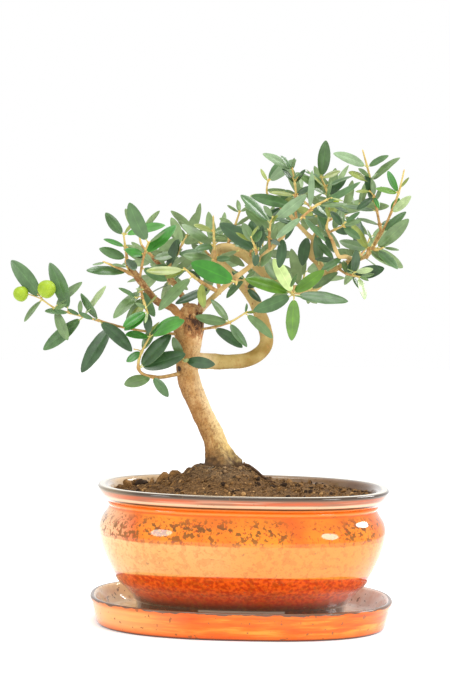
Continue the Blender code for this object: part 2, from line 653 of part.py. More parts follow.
def add_leaf(tree, mass, rng, growth, root, tangent, out, size):
    """A leaf that spreads from its twig towards `out`, at the first of a few tries that has room."""
    for _ in range(TRIES):
        spread = math.radians(LEAF_SPREAD + rng.uniform(-14, 14))
        jitter = Vector((rng.uniform(-0.16, 0.16), rng.uniform(-0.16, 0.16), rng.uniform(-0.14, 0.10)))
        along = (tangent * math.cos(spread) + out * math.sin(spread) + jitter).normalized()
        length = mass.leaf * size * rng.uniform(0.86, 1.14)
        width = length * rng.uniform(0.27, 0.34)
        if keep_leaf(tree, mass, growth, make_leaf(rng, root, tangent, along, length, width, 38)):
            return


def add_posed_leaf(tree, mass, rng, growth, root, tangent, angle, length):
    """A leaf at a given angle as seen from the front, leaning a little out of the crown or into it.
    The shorter it is, the rounder."""
    share = 0.31 + ROUNDER_PER_METRE * max(0.0, LONG_LEAF - length)
    for attempt in range(TRIES):
        lean = math.radians(rng.uniform(-12, mass.lean) + rng.uniform(-5, 5) * attempt)
        turn = math.radians(angle + rng.uniform(-2.5, 2.5) * attempt)
        ahead = -math.sin(lean) if root.y < BACK_FROM else math.sin(lean)
        along = Vector((math.cos(turn) * math.cos(lean), ahead, math.sin(turn) * math.cos(lean)))
        width = length * mass.broad * share * rng.uniform(0.9, 1.1)
        if keep_leaf(tree, mass, growth, make_leaf(rng, root, tangent, along, length, width, 22)):
            return


def keep_leaf(tree, mass, growth, leaf):
    if not leaf_fits(tree, mass.name, leaf):
        return False
    growth.leaves.append(leaf)
    for _, point in leaf_balls(leaf):
        tree.take(mass.name, point, LEAF_BALL)
    return True


def twig_fits(tree, name, points):
    return all(tree.room(name, p, TWIG_BALL + 0.0006, 0.0) for p in points[1:])


def add_twig(tree, mass, growth, points, radii):
    growth.twigs.append(Twig(points, radii))
    tree.take_twig(mass.name, points)


def place_on(line, distance):
    """Point and direction at a distance along a line."""
    directions = tangents(line)
    for k, (a, b) in enumerate(zip(line, line[1:])):
        span = (b - a).length
        if distance <= span or k == len(line) - 2:
            share = min(distance / span, 1.0)
            return a.lerp(b, share), directions[k].lerp(directions[k + 1], share).normalized()
        distance -= span


def length_of(line):
    return sum((b - a).length for a, b in zip(line, line[1:]))


def pose_leaves(tree, mass, rng, growth, line):
    """The nodes whose leaves are given, spaced evenly, the last one just short of the twig's tip."""
    last = length_of(line) - 0.0008
    for k, row in enumerate(mass.posed):
        share = k / max(1, len(mass.posed) - 1)
        root, tangent = place_on(line, mass.bare + (last - mass.bare) * share)
        for angle, length in zip(row[::2], row[1::2]):
            add_posed_leaf(tree, mass, rng, growth, root, tangent, angle, length / 1000)


def rule_pairs(tree, mass, rng, growth, line, bare, sides, roll, size):
    """Opposite pairs along a twig, each pair square to the last, and one more pair at its tip."""
    total = length_of(line)
    place = bare
    turn = math.radians(roll)
    while place < total:
        root, tangent = place_on(line, place)
        flat = across(tangent, Vector((tangent.z, 0.0, 0.01 - tangent.x)))
        for half_turn in (0.0, math.pi):
            out = flat.copy()
            out.rotate(Matrix.Rotation(turn + half_turn, 3, tangent))
            if rng.random() < sides and place < total * 0.8:
                grow_side(tree, mass, rng, growth, root, tangent, out)
            else:
                add_leaf(tree, mass, rng, growth, root, tangent, out, size)
        turn += math.pi / 2 + rng.uniform(-0.3, 0.3)
        place += mass.gap * rng.uniform(0.8, 1.25)
    root, tangent = place_on(line, total - 0.0008)
    for lean in (-1, 1):
        out = across(tangent, Vector((lean, rng.uniform(-0.6, 0.6), 0.2)))
        add_leaf(tree, mass, rng, growth, root, tangent * 1.8, out, size * 0.9)


def grow_side(tree, mass, rng, growth, root, tangent, out):
    """A side twig with its own leaves, or a leaf where there is no room for one."""
    length = rng.uniform(0.016, 0.026)
    for _ in range(TRIES):
        jitter = Vector((rng.uniform(-0.2, 0.2), rng.uniform(-0.2, 0.2), 0.0))
        start = (tangent * 0.75 + out * 0.85 + jitter).normalized()
        middle = root + start * length * 0.5
        line = smooth((root, middle, middle + (start + UP * 0.35).normalized() * length * 0.5), 1)
        if twig_fits(tree, mass.name, line):
            radii = tapering(line, (TWIG_TIP_RADIUS * 1.2, TWIG_TIP_RADIUS * 0.9))
            add_twig(tree, mass, growth, line, radii)
            rule_pairs(tree, mass, rng, growth, line, 0.009, 0.0, rng.uniform(0, 90), 0.88)
            return
    add_leaf(tree, mass, rng, growth, root, tangent, out, 1.0)


def grow(tree, mass):
    """All twigs, leaves and fruits of one mass."""
    rng = random.Random(TREE_SEED + mass.seed)
    growth = Growth()
    line, radii = tree.lines[mass.name]
    growth.twigs.append(Twig(line, radii))
    for x, y, z, radius in mass.fruits:
        centre = Vector((x, y, z))
        growth.fruits.append((centre, radius))
        tree.take(mass.name, centre, radius + GAP)
        stalk_root = min(line, key=lambda p: (p - centre).length)
        stalk = smooth((stalk_root, stalk_root.lerp(centre, 0.6) + UP * 0.0008, centre), 2)
        add_twig(tree, mass, growth, stalk, [TWIG_TIP_RADIUS] * len(stalk))
    if mass.posed:
        pose_leaves(tree, mass, rng, growth, line)
    else:
        rule_pairs(tree, mass, rng, growth, line, mass.bare, mass.sides, mass.roll, 1.0)
    return growth


def solid_leaf(leaf, material):
    """A thin blade with a keel under its midrib, from its stalk in the twig to its tip."""
    side = leaf.along.cross(leaf.face)
    rings = []
    for share in LEAF_RINGS:
        centre, half = leaf_shape(leaf, share)
        deep = LEAF_THICKNESS
        if share == 0.0:
            half, deep = LEAF_ROOT / 2, LEAF_ROOT / 2
        rings.append([centre + side * half, centre - side * half, centre - leaf.face * deep])
    rings.append([leaf_shape(leaf, 1.0)[0]])
    return lofted("leaf", rings, material)


def solid_fruit(centre, radius, material):
    mesh = bmesh.new()
    bmesh.ops.create_icosphere(mesh, subdivisions=2 if radius > 0.003 else 1, radius=radius,
                               matrix=Matrix.Translation(centre))
    data = bpy.data.meshes.new("fruit")
    mesh.to_mesh(data)
    mesh.free()
    data.materials.append(material)
    return bpy.data.objects.new("fruit", data)


def applied(obj):
    """Puts the result of an object's modifiers in its mesh, and drops all but its widest shell."""
    bpy.context.view_layer.update()
    graph = bpy.context.evaluated_depsgraph_get()
    data = bpy.data.meshes.new_from_object(obj.evaluated_get(graph))
    obj.modifiers.clear()
    obj.data = data
    mesh = bmesh.new()
    mesh.from_mesh(data)
    bmesh.ops.remove_doubles(mesh, verts=mesh.verts, dist=1e-6)
    left = set(mesh.verts)
    shells = []
    while left:
        front = [left.pop()]
        shell = set(front)
        while front:
            for edge in front.pop().link_edges:
                for vertex in edge.verts:
                    if vertex in left:
                        left.discard(vertex)
                        shell.add(vertex)
                        front.append(vertex)
        shells.append(shell)
    shells.sort(key=lambda shell: (box_of(v.co for v in shell)[1]).length)
    for shell in shells[:-1]:
        bmesh.ops.delete(mesh, geom=list(shell), context="VERTS")
    mesh.to_mesh(data)
    mesh.free()


def box_of(points):
    """Lowest corner of some points, and the size of their box."""
    points = [tuple(p) for p in points]
    low = Vector(tuple(min(p[k] for p in points) for k in range(3)))
    high = Vector(tuple(max(p[k] for p in points) for k in range(3)))
    return low, high - low


def join_all(base, pieces, home):
    """One Boolean union of a stem with everything that grows on it."""
    group = bpy.data.collections.new(base.name + "_pieces")
    bpy.context.scene.collection.children.link(group)
    home.objects.link(base)
    for piece in pieces:
        group.objects.link(piece)
    stem = base.data
    whole = box_of(v.co for piece in (base, *pieces) for v in piece.data.vertices)[1]
    for solver in ("EXACT", "MANIFOLD"):
        base.data = stem
        union = base.modifiers.new("union", "BOOLEAN")
        union.operation = "UNION"
        union.operand_type = "COLLECTION"
        union.collection = group
        union.solver = solver
        applied(base)
        if base.data.vertices and (box_of(v.co for v in base.data.vertices)[1] - whole).length < GAP:
            break
    for piece in pieces:
        bpy.data.objects.remove(piece)
    bpy.data.collections.remove(group)


def cut_clear(obj, cutter):
    """Takes from a solid what lies in its carrier, made a gap thicker, so that it meets it all round."""
    bpy.context.scene.collection.objects.link(cutter)
    cut = obj.modifiers.new("seat", "BOOLEAN")
    cut.operation = "DIFFERENCE"
    cut.object = cutter
    cut.solver = "EXACT"
    applied(obj)
    bpy.data.objects.remove(cutter)


def carrier_grown(tree, name, material):
    if name == "trunk":
        return make_trunk(material, GAP)
    points, radii = tree.lines[name]
    sides = next(limb.sides for limb in tree.limbs if limb.name == name)
    return lofted("cutter", tube_rings(points, [r + GAP for r in radii], sides), material)


def build_material(name, colour, roughness, metallic=0.0):
    material = bpy.data.materials.new(name)
    material.use_nodes = True
    shader = material.node_tree.nodes["Principled BSDF"]
    shader.inputs["Base Color"].default_value = (*colour, 1.0)
    shader.inputs["Roughness"].default_value = roughness
    shader.inputs["Metallic"].default_value = metallic
    material.diffuse_color = (*colour, 1.0)
    return material


def main():
    for obj in list(bpy.data.objects):
        bpy.data.objects.remove(obj)
    home = bpy.data.collections.new("olive_bonsai")
    bpy.context.scene.collection.children.link(home)
    glaze = build_material("orange_glaze", (0.72, 0.22, 0.05), 0.15)
    earth = build_material("potting_soil", (0.09, 0.045, 0.025), 0.95)
    bark = build_material("olive_bark", (0.45, 0.28, 0.15), 0.85)
    green = build_material("olive_leaf", (0.09, 0.17, 0.09), 0.5)

    for piece in (make_tray(glaze), make_pot(glaze), make_soil(earth), make_trunk(bark)):
        home.objects.link(piece)
    tree = Tree()
    for limb in tree.limbs:
        points, radii = tree.lines[limb.name]
        piece = lofted(limb.name, tube_rings(points, radii, limb.sides), bark)
        home.objects.link(piece)
        if not limb.follows_on:
            cut_clear(piece, carrier_grown(tree, limb.carrier, bark))
    count = 0
    for mass in MASSES:
        growth = grow(tree, mass)
        count += len(growth.leaves)
        stems = [lofted(mass.name, tube_rings(t.points, t.radii, TWIG_SIDES), green) for t in growth.twigs]
        leaves = [solid_leaf(leaf, green) for leaf in growth.leaves]
        fruits = [solid_fruit(centre, radius, green) for centre, radius in growth.fruits]
        join_all(stems[0], stems[1:] + leaves + fruits, home)
        stems[0].name = mass.name
        if not mass.follows_on:
            cut_clear(stems[0], carrier_grown(tree, mass.carrier, bark))
    print("leaves in all:", count)


main()
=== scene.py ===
"""The look of the olive bonsai: glazed pot and drip tray, soil, bark, twigs, leaves and fruit.

Metres, +Z up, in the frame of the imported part. Some tables are in millimetres, as they say. The
crown grows by the same seeded rule as the part's source, from the same sizes, and is carried on to
finer shoots, young leaves and buds.
"""

import math
import random
from dataclasses import dataclass, field

import bmesh
import bpy
import numpy as np
from mathutils import Matrix, Vector, noise


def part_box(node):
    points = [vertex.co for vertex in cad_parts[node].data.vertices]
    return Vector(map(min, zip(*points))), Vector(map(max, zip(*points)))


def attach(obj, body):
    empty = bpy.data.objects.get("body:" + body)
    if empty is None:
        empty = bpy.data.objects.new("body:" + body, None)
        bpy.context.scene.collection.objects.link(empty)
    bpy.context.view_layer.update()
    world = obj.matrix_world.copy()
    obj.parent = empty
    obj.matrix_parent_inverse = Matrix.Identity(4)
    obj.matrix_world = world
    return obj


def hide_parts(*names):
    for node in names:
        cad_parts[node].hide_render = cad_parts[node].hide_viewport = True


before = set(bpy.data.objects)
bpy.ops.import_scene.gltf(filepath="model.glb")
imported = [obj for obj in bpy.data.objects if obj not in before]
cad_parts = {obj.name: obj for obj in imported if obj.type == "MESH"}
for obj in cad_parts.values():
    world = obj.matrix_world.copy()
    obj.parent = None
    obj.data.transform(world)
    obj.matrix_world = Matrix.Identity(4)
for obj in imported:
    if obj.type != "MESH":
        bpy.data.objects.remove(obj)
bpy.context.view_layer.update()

UP = Vector((0.0, 0.0, 1.0))


def metres(*rows):
    """Rows of sizes in millimetres, turned into metres."""
    return tuple(tuple(size / 1000 for size in row) for row in rows)


# Clearance between pieces that touch
GAP = 0.0003

# The oval of pot, tray and soil: a superellipse whose half depth is its half length less a
# fixed difference
OVAL_POWER = 2.44
OVAL_DIFFERENCE = 0.024
OVAL_STEPS = 180

# Drip tray
TRAY_RIM = 0.0970
TRAY_RIM_TOP = 0.0178
TRAY_BASE = 0.0923
TRAY_WALL = 0.0042
TRAY_FLOOR = 0.0060

# Pot
POT_BASE = TRAY_FLOOR + GAP
POT_FOOT = 0.0667
POT_RIM = 0.0933
POT_RIM_TOP = 0.0888
POT_LIP = 0.0088
POT_LIP_DEPTH = 0.0025
POT_WALL = 0.0058
POT_FLOOR = 0.0210
POT_FLOOR_HALF = 0.0640
POT_NECK = 0.0720
POT_INSIDE_HEIGHTS = (POT_NECK, 0.0590, 0.0287)

# Outside of the pot, as half lengths at heights, from the foot up to the rim
POT_SIDE = (
    (0.0692, 0.0155), (0.0713, 0.0187), (0.0753, 0.0235), (0.0804, 0.0287), (0.0860, 0.0390),
    (0.0902, 0.0490), (0.0925, 0.0590), (0.0910, 0.0665), (0.0876, POT_NECK), (0.0859, 0.0756),
)

# Soil: its height at the pot's wall, at the top of its dome and under the trunk
SOIL_EDGE = 0.0835
SOIL_DOME = 0.0052
SOIL_FOOT = 0.1005
SOIL_FOOT_RADIUS = 0.0145
SOIL_SLOPE_RADIUS = 0.0150

# Trunk: centre line and radius, from its flat cut on the soil to the knot at its top
TRUNK = (
    (-0.0145, 0.000, SOIL_FOOT + GAP, 0.0128), (-0.0158, 0.000, 0.1055, 0.0100),
    (-0.0175, 0.000, 0.1110, 0.0083), (-0.0200, 0.000, 0.1200, 0.0070),
    (-0.0280, 0.001, 0.1355, 0.0067), (-0.0360, 0.001, 0.1540, 0.0071),
    (-0.0380, 0.000, 0.1670, 0.0068), (-0.0370, -0.001, 0.1790, 0.0082),
    (-0.0372, -0.001, 0.1880, 0.0098), (-0.0365, -0.001, 0.1945, 0.0090),
    (-0.0358, 0.000, 0.2000, 0.0066), (-0.0352, 0.001, 0.2040, 0.0034),
)
ROOT_LOBES = 5
ROOT_LOBE_DEPTH = 0.16
ROOT_LOBE_HEIGHT = 0.014

# Leaves and twigs. Balls fill them, to keep each clear of the others. A leaf's face turns at random
# by up to a swing in degrees
LEAF_SPREAD = 52.0
BLADE_FULLNESS = 0.68
PETIOLE_WIDTH = 0.0011
PETIOLE_SHARE = 0.11
LONG_LEAF = 0.024
ROUNDER_PER_METRE = 9.0
OUTWARD_PER_METRE = 3.0
BACK_FROM = 0.014
TWIG_ROOT_RADIUS = 0.00105
TWIG_TIP_RADIUS = 0.00070
LEAF_BALL = 0.0015
TWIG_BALL = 0.0008
BALL_STEP = 0.0015
GRID = 0.012
FOLLOW_STEP = 0.0020
TRIES = 12
TREE_SEED = 20
FIRST_PAIR_TURN = 20.0
SHORT_OF_TIP = 0.0008
TWIG_CLEARANCE = 0.0006
LEAF_SWING = 38
POSED_SWING = 22

# Camera, fitted to the photograph's frame
PHOTO_WIDTH = 450
PHOTO_HEIGHT = 675
CAMERA_AIM = Vector((-0.0139, 0.0, 0.1832))
CAMERA_DISTANCE = 1.4
CAMERA_PITCH = math.radians(2.42)
CAMERA_ROLL = math.radians(1.23)
CAMERA_LENS = 116.67
CAMERA_SENSOR = 36.0
CAMERA_CLIP = (0.05, 20.0)

# Studio: soft boxes with their place, the height that they aim at, their width, height and power
SOFT_BOXES = (
    ("left_box", (-0.75, -0.75, 0.55), 0.12, 0.35, 0.45, 3.6),
    ("right_box", (0.80, -0.70, 0.50), 0.12, 0.30, 0.40, 3.4),
    ("side_box", (0.80, 0.35, 0.75), 0.18, 0.40, 0.40, 7.0),
    ("top_box", (0.0, -0.10, 1.10), 0.10, 0.60, 0.50, 5.5),
)
FLOOR_HALF = 3.0
FLOOR_COLOUR = (0.93, 0.93, 0.93, 1.0)

# Lifts the paper floor to the white of the background
FLOOR_GLOW = 0.22

# Glaze: the lip's heights and its bands between them, some of them painted light and shade, the half
# width and top of a grey patch on the foot that is painted as the shade and reflection seen through a
# low arch, which is not cut, and the unevenness
LIP_HEIGHTS = (0.0750, 0.0890)
# Among the lip's bands, the dark line from 0.385 to 0.445 is painted shade under the lip's roll, the pale
# band from 0.475 to 0.56 a painted highlight, and the dark band from 0.83 with the white at the top edge a
# painted reflection
LIP_BANDS = (
    (0.00, (200, 82, 6)), (0.12, (226, 124, 30)), (0.26, (228, 112, 26)), (0.35, (206, 124, 60)),
    (0.385, (84, 48, 26)), (0.445, (88, 52, 30)), (0.475, (214, 166, 128)), (0.56, (224, 176, 138)),
    (0.61, (172, 90, 46)), (0.70, (188, 78, 26)), (0.79, (162, 82, 44)), (0.83, (88, 66, 46)),
    (0.90, (58, 44, 32)), (0.972, (70, 54, 40)), (0.985, (226, 214, 190)),
)
PAINTED_ARCH_HALF = 0.0265
PAINTED_ARCH_TOP = 0.0143
GLAZE_WAVE = 0.00012

# Soil: each tone's dark and light and its share of the crumbs, the clods in millimetres as x, y and
# size with their tone's number, and the fibres, of which the first are spread out and the others lie
# on the mound
SOIL_SEED = 71
SOIL_RINGS = 70
SOIL_TONES = {
    "soil_dark": ((62, 42, 22), (120, 88, 52), 0.38),
    "soil_brown": ((96, 66, 36), (150, 112, 66), 0.34),
    "soil_light": ((134, 98, 58), (186, 146, 94), 0.10),
    "soil_black": ((34, 24, 16), (64, 46, 30), 0.18),
}
CRUMBS = 2800
CLODS = (
    (-52, 12, 5.2, 1), (-45, 16, 4.2, 1), (-59, 10, 3, 1), (-66, 12, 4.6, 3), (-74.5, 4, 4.2, 1),
    (-70, 20, 4.2, 0), (-78, -6, 3, 0), (30, 6, 3, 1), (37, 0, 2.4, 1), (48, 12, 2.2, 0),
    (25, -12, 2.2, 3), (-35, -20, 2, 0),
)
FIBRES = 1700
SPREAD_FIBRES = 800

# A root that shows on the mound, in millimetres, as x, y and height above the soil
SURFACE_ROOT = metres(
    (-3, -2, 0.2), (1.5, -3, 1.8), (7, -4, 2.2), (12.5, -5, 1.8), (17.5, -6.5, 1), (21.5, -8, -0.6),
)

# Bark: the old cut at the trunk's top with its dark stain, the red patch beside it and the small knot
BARK_VOXEL = 0.00040
OLD_CUT = Vector((-0.0345, -0.0085, 0.1915))
OLD_CUT_REACH = 0.0100
CUT_STAIN = (-0.0335, -0.0080, 0.1925)
RED_PATCH = (-0.0290, -0.0070, 0.1860)
KNOT = (-0.0430, -0.0042, 0.1628)

# Crown: a young leaf's or shoot's reach beyond the box of its mass, the shares of leaves with a bud
# and with a shoot in their axil, and the share of a main twig that is old
CROWN_SEED = 505
YOUNG_TRIES = 5
BOX_SLACK = 0.001
BUD_SHARE = 0.5
SHOOT_SHARE = 0.22
OLD_SHARE = 0.62

# Leaf mesh: places across the blade, with a narrow midrib, and along it
BLADE_ACROSS = (-1.0, -0.66, -0.30, -0.05, 0.05, 0.30, 0.66, 1.0)
BLADE_ALONG = (0.0, 0.035, 0.10, 0.19, 0.30, 0.42, 0.55, 0.68, 0.79, 0.88, 0.945, 0.982, 1.0)
BLADE_THICKNESS = 0.00032
NARROWEST_ROOT = 0.00030
NARROWEST_TIP = 0.00006
MIDRIB_DEPTH = 0.00028
MIDRIB_GROOVE = 0.00010
PETIOLE_RADIUS = 0.00042

# Colours of the leaves' upper sides, as red, green and blue of 255
UPPERS = {
    "deep": (40, 68, 34),
    "green": (60, 92, 46),
    "grey": (84, 108, 62),
    "olive": (114, 126, 52),
    # Painted backlight: a leaf painted bright green, as lit through from behind
    "painted_backlight": (36, 102, 12),
    # Painted sheen: a leaf painted lighter green, as by the sheen on it
    "glossy": (62, 122, 42),
    "light": (102, 126, 88),
    # Painted backlight: a leaf painted yellow-green, as lit through from behind
    "painted_backlight_lime": (72, 112, 18),
    "pale": (142, 160, 108),
    "cream": (170, 190, 122),
}
TINT_SHARES = {"deep": 0.42, "green": 0.38, "grey": 0.14, "olive": 0.06}

# Leaves whose colour is plain in the photograph, by mass, tint and angle seen from the front
TINTS = {
    "far_left": dict(deep=(235, -40), green=(124, 218, 113, 171, 131), pale=(58,), grey=(47, -68, 229)),
    "low_left": dict(grey=(195, 62), green=(-50,), deep=(48, 22), painted_backlight=(213, 172), glossy=(31,)),
    "fork": dict(deep=(-4,), grey=(118,)),
    "front_left": dict(grey=(225, 240), green=(-62,), olive=(229,), painted_backlight=(212,), deep=(-85,)),
    "left_tip": dict(green=(159, 128), deep=(-47, -28), painted_backlight=(160,), glossy=(19,)),
    "left_rising": dict(green=(-24, 116), painted_backlight=(47, 165)),
    "left_outer": dict(green=(172,)),
    "left_crown": dict(pale=(57,), green=(120,), deep=(165, -10)),
    "left_upper": dict(deep=(75,), grey=(195, 190, 112, 65), green=(11, 150, 30)),
    "middle_left": dict(deep=(203, 138), olive=(-84, 181, 204), grey=(223,)),
    "middle": dict(grey=(171, 143, 20), green=(187,), olive=(156,)),
    "front_low": dict(painted_backlight=(157,)),
    "front_middle": dict(deep=(143, -95, 100), grey=(118,), green=(55,)),
    "middle_top": dict(grey=(143,), green=(137, 150), light=(42,)),
    "front_tip": dict(deep=(160, 238), light=(219, 88), green=(-43, 30), grey=(4,)),
    "star": dict(painted_backlight_lime=(160, 39, -90), green=(203, 0), cream=(118,)),
    "low_right": dict(deep=(-32,), green=(-52,), grey=(171, 128, -39)),
    "arch_top": dict(grey=(35,), green=(146,), olive=(100,)),
    "leader_top": dict(green=(86, 118, 27), olive=(25, 140), grey=(142,), deep=(47,)),
    "upper_left": dict(green=(57,), light=(31,), olive=(175,)),
    "upper_front": dict(green=(163, 130), olive=(169,), deep=(131,), light=(150,)),
    "right_upper": dict(green=(170,), deep=(215,), painted_backlight=(-65, 80), grey=(100, 46), olive=(156,),
        light=(157,)),
    "right_outer": dict(green=(46,), painted_backlight=(62, 119), pale=(44,), painted_backlight_lime=(166,)),
    "right_low": dict(grey=(-25, 46), olive=(125,), light=(163,), green=(-38,)),
    "right_under": dict(grey=(100,), deep=(80, 14), green=(-50,), pale=(-70,)),
    "right_middle": dict(green=(110,), deep=(-55,), grey=(70,)),
    "stub_tip": dict(olive=(60,)),
    "centre": dict(deep=(-40,), green=(222,)),
}

# Leaves on the boughs between the masses, which lean forward between these angles. These ones are
# placed by the pixels of the photograph where root and tip show, and by how far behind the part's
# middle they stand. Then come width as a share of the length, and tint.
BOUGH_LEAF_LEAN = (8, 24)
PHOTO_LEAVES = (
    ((283, 236.5), (279, 267), -0.0258, 0.36, "deep"),
    ((308, 235), (302, 266), 0.0095, 0.40, "deep"),
    ((272, 249), (261, 266), -0.0245, 0.52, "grey"),
    ((361, 256), (347, 272), 0.0010, 0.46, "deep"),
    ((343, 256.5), (321, 269), -0.0060, 0.34, "green"),
    ((271, 223), (245.5, 203), -0.0200, 0.40, "green"),
    ((373, 202), (367, 173), -0.0085, 0.34, "deep"),
    ((168, 271), (177, 240), 0.0110, 0.34, "deep"),
    ((148, 313), (124, 328), -0.0235, 0.40, "painted_backlight"),
    ((150, 337), (178, 317), -0.0180, 0.44, "glossy"),
    ((316, 240), (334, 258), 0.0100, 0.36, "green"),
    ((258, 250), (262, 226), -0.0285, 0.34, "deep"),
)

# More of them, by root, angle seen from the front, length, width share and tint
BOUGH_LEAVES = (
    ((0.0455, 0.0105, 0.2310), 96, 0.0200, 0.38, "green"),
    ((0.0400, 0.0135, 0.2150), 35, 0.0220, 0.34, "grey"),
    ((0.0620, 0.0045, 0.2320), 166, 0.0200, 0.36, "deep"),
    ((0.0200, 0.0135, 0.2190), 118, 0.0200, 0.48, "grey"),
    ((-0.0060, 0.0190, 0.2390), 200, 0.0185, 0.34, "deep"),
)


@dataclass
class Limb:
    """One tapering limb. It starts in the limb named by `carrier`, or follows on from its tip."""

    name: str
    carrier: str
    points: tuple
    radii: tuple
    follows_on: bool = False


@dataclass
class Mass:
    """One mass of foliage on a main twig. `gap` is the distance between pairs of leaves, and
    `sides` is the share of leaves that a side twig replaces. Where `posed` has a row for each
    node, the nodes are spaced evenly from `bare` to the tip instead. A row gives each leaf's angle,
    seen from the front and anticlockwise from +X, and its length in millimetres. `stem` and `broad`
    are shares of the usual thickness and leaf width."""

    name: str
    carrier: str
    points: tuple
    leaf: float = 0.026
    gap: float = 0.0105
    sides: float = 0.30
    bare: float = 0.006
    lean: float = 36.0
    follows_on: bool = False
    seed: int = 0
    stem: float = 1.0
    broad: float = 1.0
    posed: tuple = ()
    fruits: tuple = ()

    @property
    def node(self):
        return self.name + "_foliage"


@dataclass
class Twig:
    points: list
    radii: list


@dataclass
class Leaf:
    root: Vector
    along: Vector
    face: Vector
    length: float
    width: float
    droop: float


@dataclass
class Growth:
    twigs: list = field(default_factory=list)
    leaves: list = field(default_factory=list)
    fruits: list = field(default_factory=list)
    angles: list = field(default_factory=list)


# The low bough's one long course, which swings right, back and right again
SWEEP = metres(
    (-36, 0, 168), (-14, 2, 167.5), (1, 6, 169), (10.5, 10, 175),
    (13, 14, 183), (10, 18, 194), (5, 22, 206), (-3, 26, 217),
    (-14, 28, 226), (-20.5, 28, 233), (-19, 26, 239.5), (-11, 24, 240),
    (-1, 22, 235), (9, 20, 226), (20, 18, 218), (32, 18, 214),
    (43, 18, 215.5), (49, 16, 222.5), (46.5, 14, 230.5), (40, 12, 237),
)
SWEEP_RADII = (0.0052, 0.0046, 0.0043, 0.0036, 0.0032, 0.0027, 0.0023)
SWEEP_PIECES = {
    "low_bough": (0, 3), "rising_bough": (3, 7), "turning_bough": (7, 11),
    "crossing_bough": (11, 16), "elbow_bough": (16, 19),
}

LIMBS = (
    Limb("leader", "elbow_bough", metres((40, 12, 237), (43.5, 10, 251), (50, 8, 266)), (0.0021, 0.0014),
         follows_on=True),
    Limb("right_bough", "elbow_bough", metres((49, 16, 222.5), (62, 7, 232), (76, 0, 238), (83, -4, 252)),
         (0.0019, 0.0013)),
    Limb("upper_left_bough", "leader", metres((42.5, 10.5, 246), (34, 10, 254), (24, 10, 265)),
         (0.0016, 0.0012)),
    Limb("right_stub", "right_bough", metres((67, 4, 234.5), (62, -4, 236.5), (57, -8, 237), (53, -9, 246)),
         (0.0016, 0.0012)),
    Limb("front_bough", "trunk", metres((-34, -3, 190), (-28.5, -8, 201.5), (-14, -15, 217),
         (0, -21, 228.5), (13, -24, 240), (26.5, -27, 254.5)), (0.0021, 0.0012)),
    Limb("left_bough", "trunk", metres((-38, -3, 189), (-47, -6, 201), (-58, -9, 206), (-66.5, -12, 216),
         (-76.5, -14, 229)), (0.0028, 0.0020)),
    Limb("rear_bough", "trunk", metres((-37, 2, 189), (-39.5, 8.5, 204), (-49, 11, 219), (-62, 14, 234)),
         (0.0024, 0.0014)),
    Limb("brown_stub", "trunk", metres((-35, 0, 190), (-31, 1.5, 201), (-30, 2, 208)), (0.0022, 0.0013)),
)

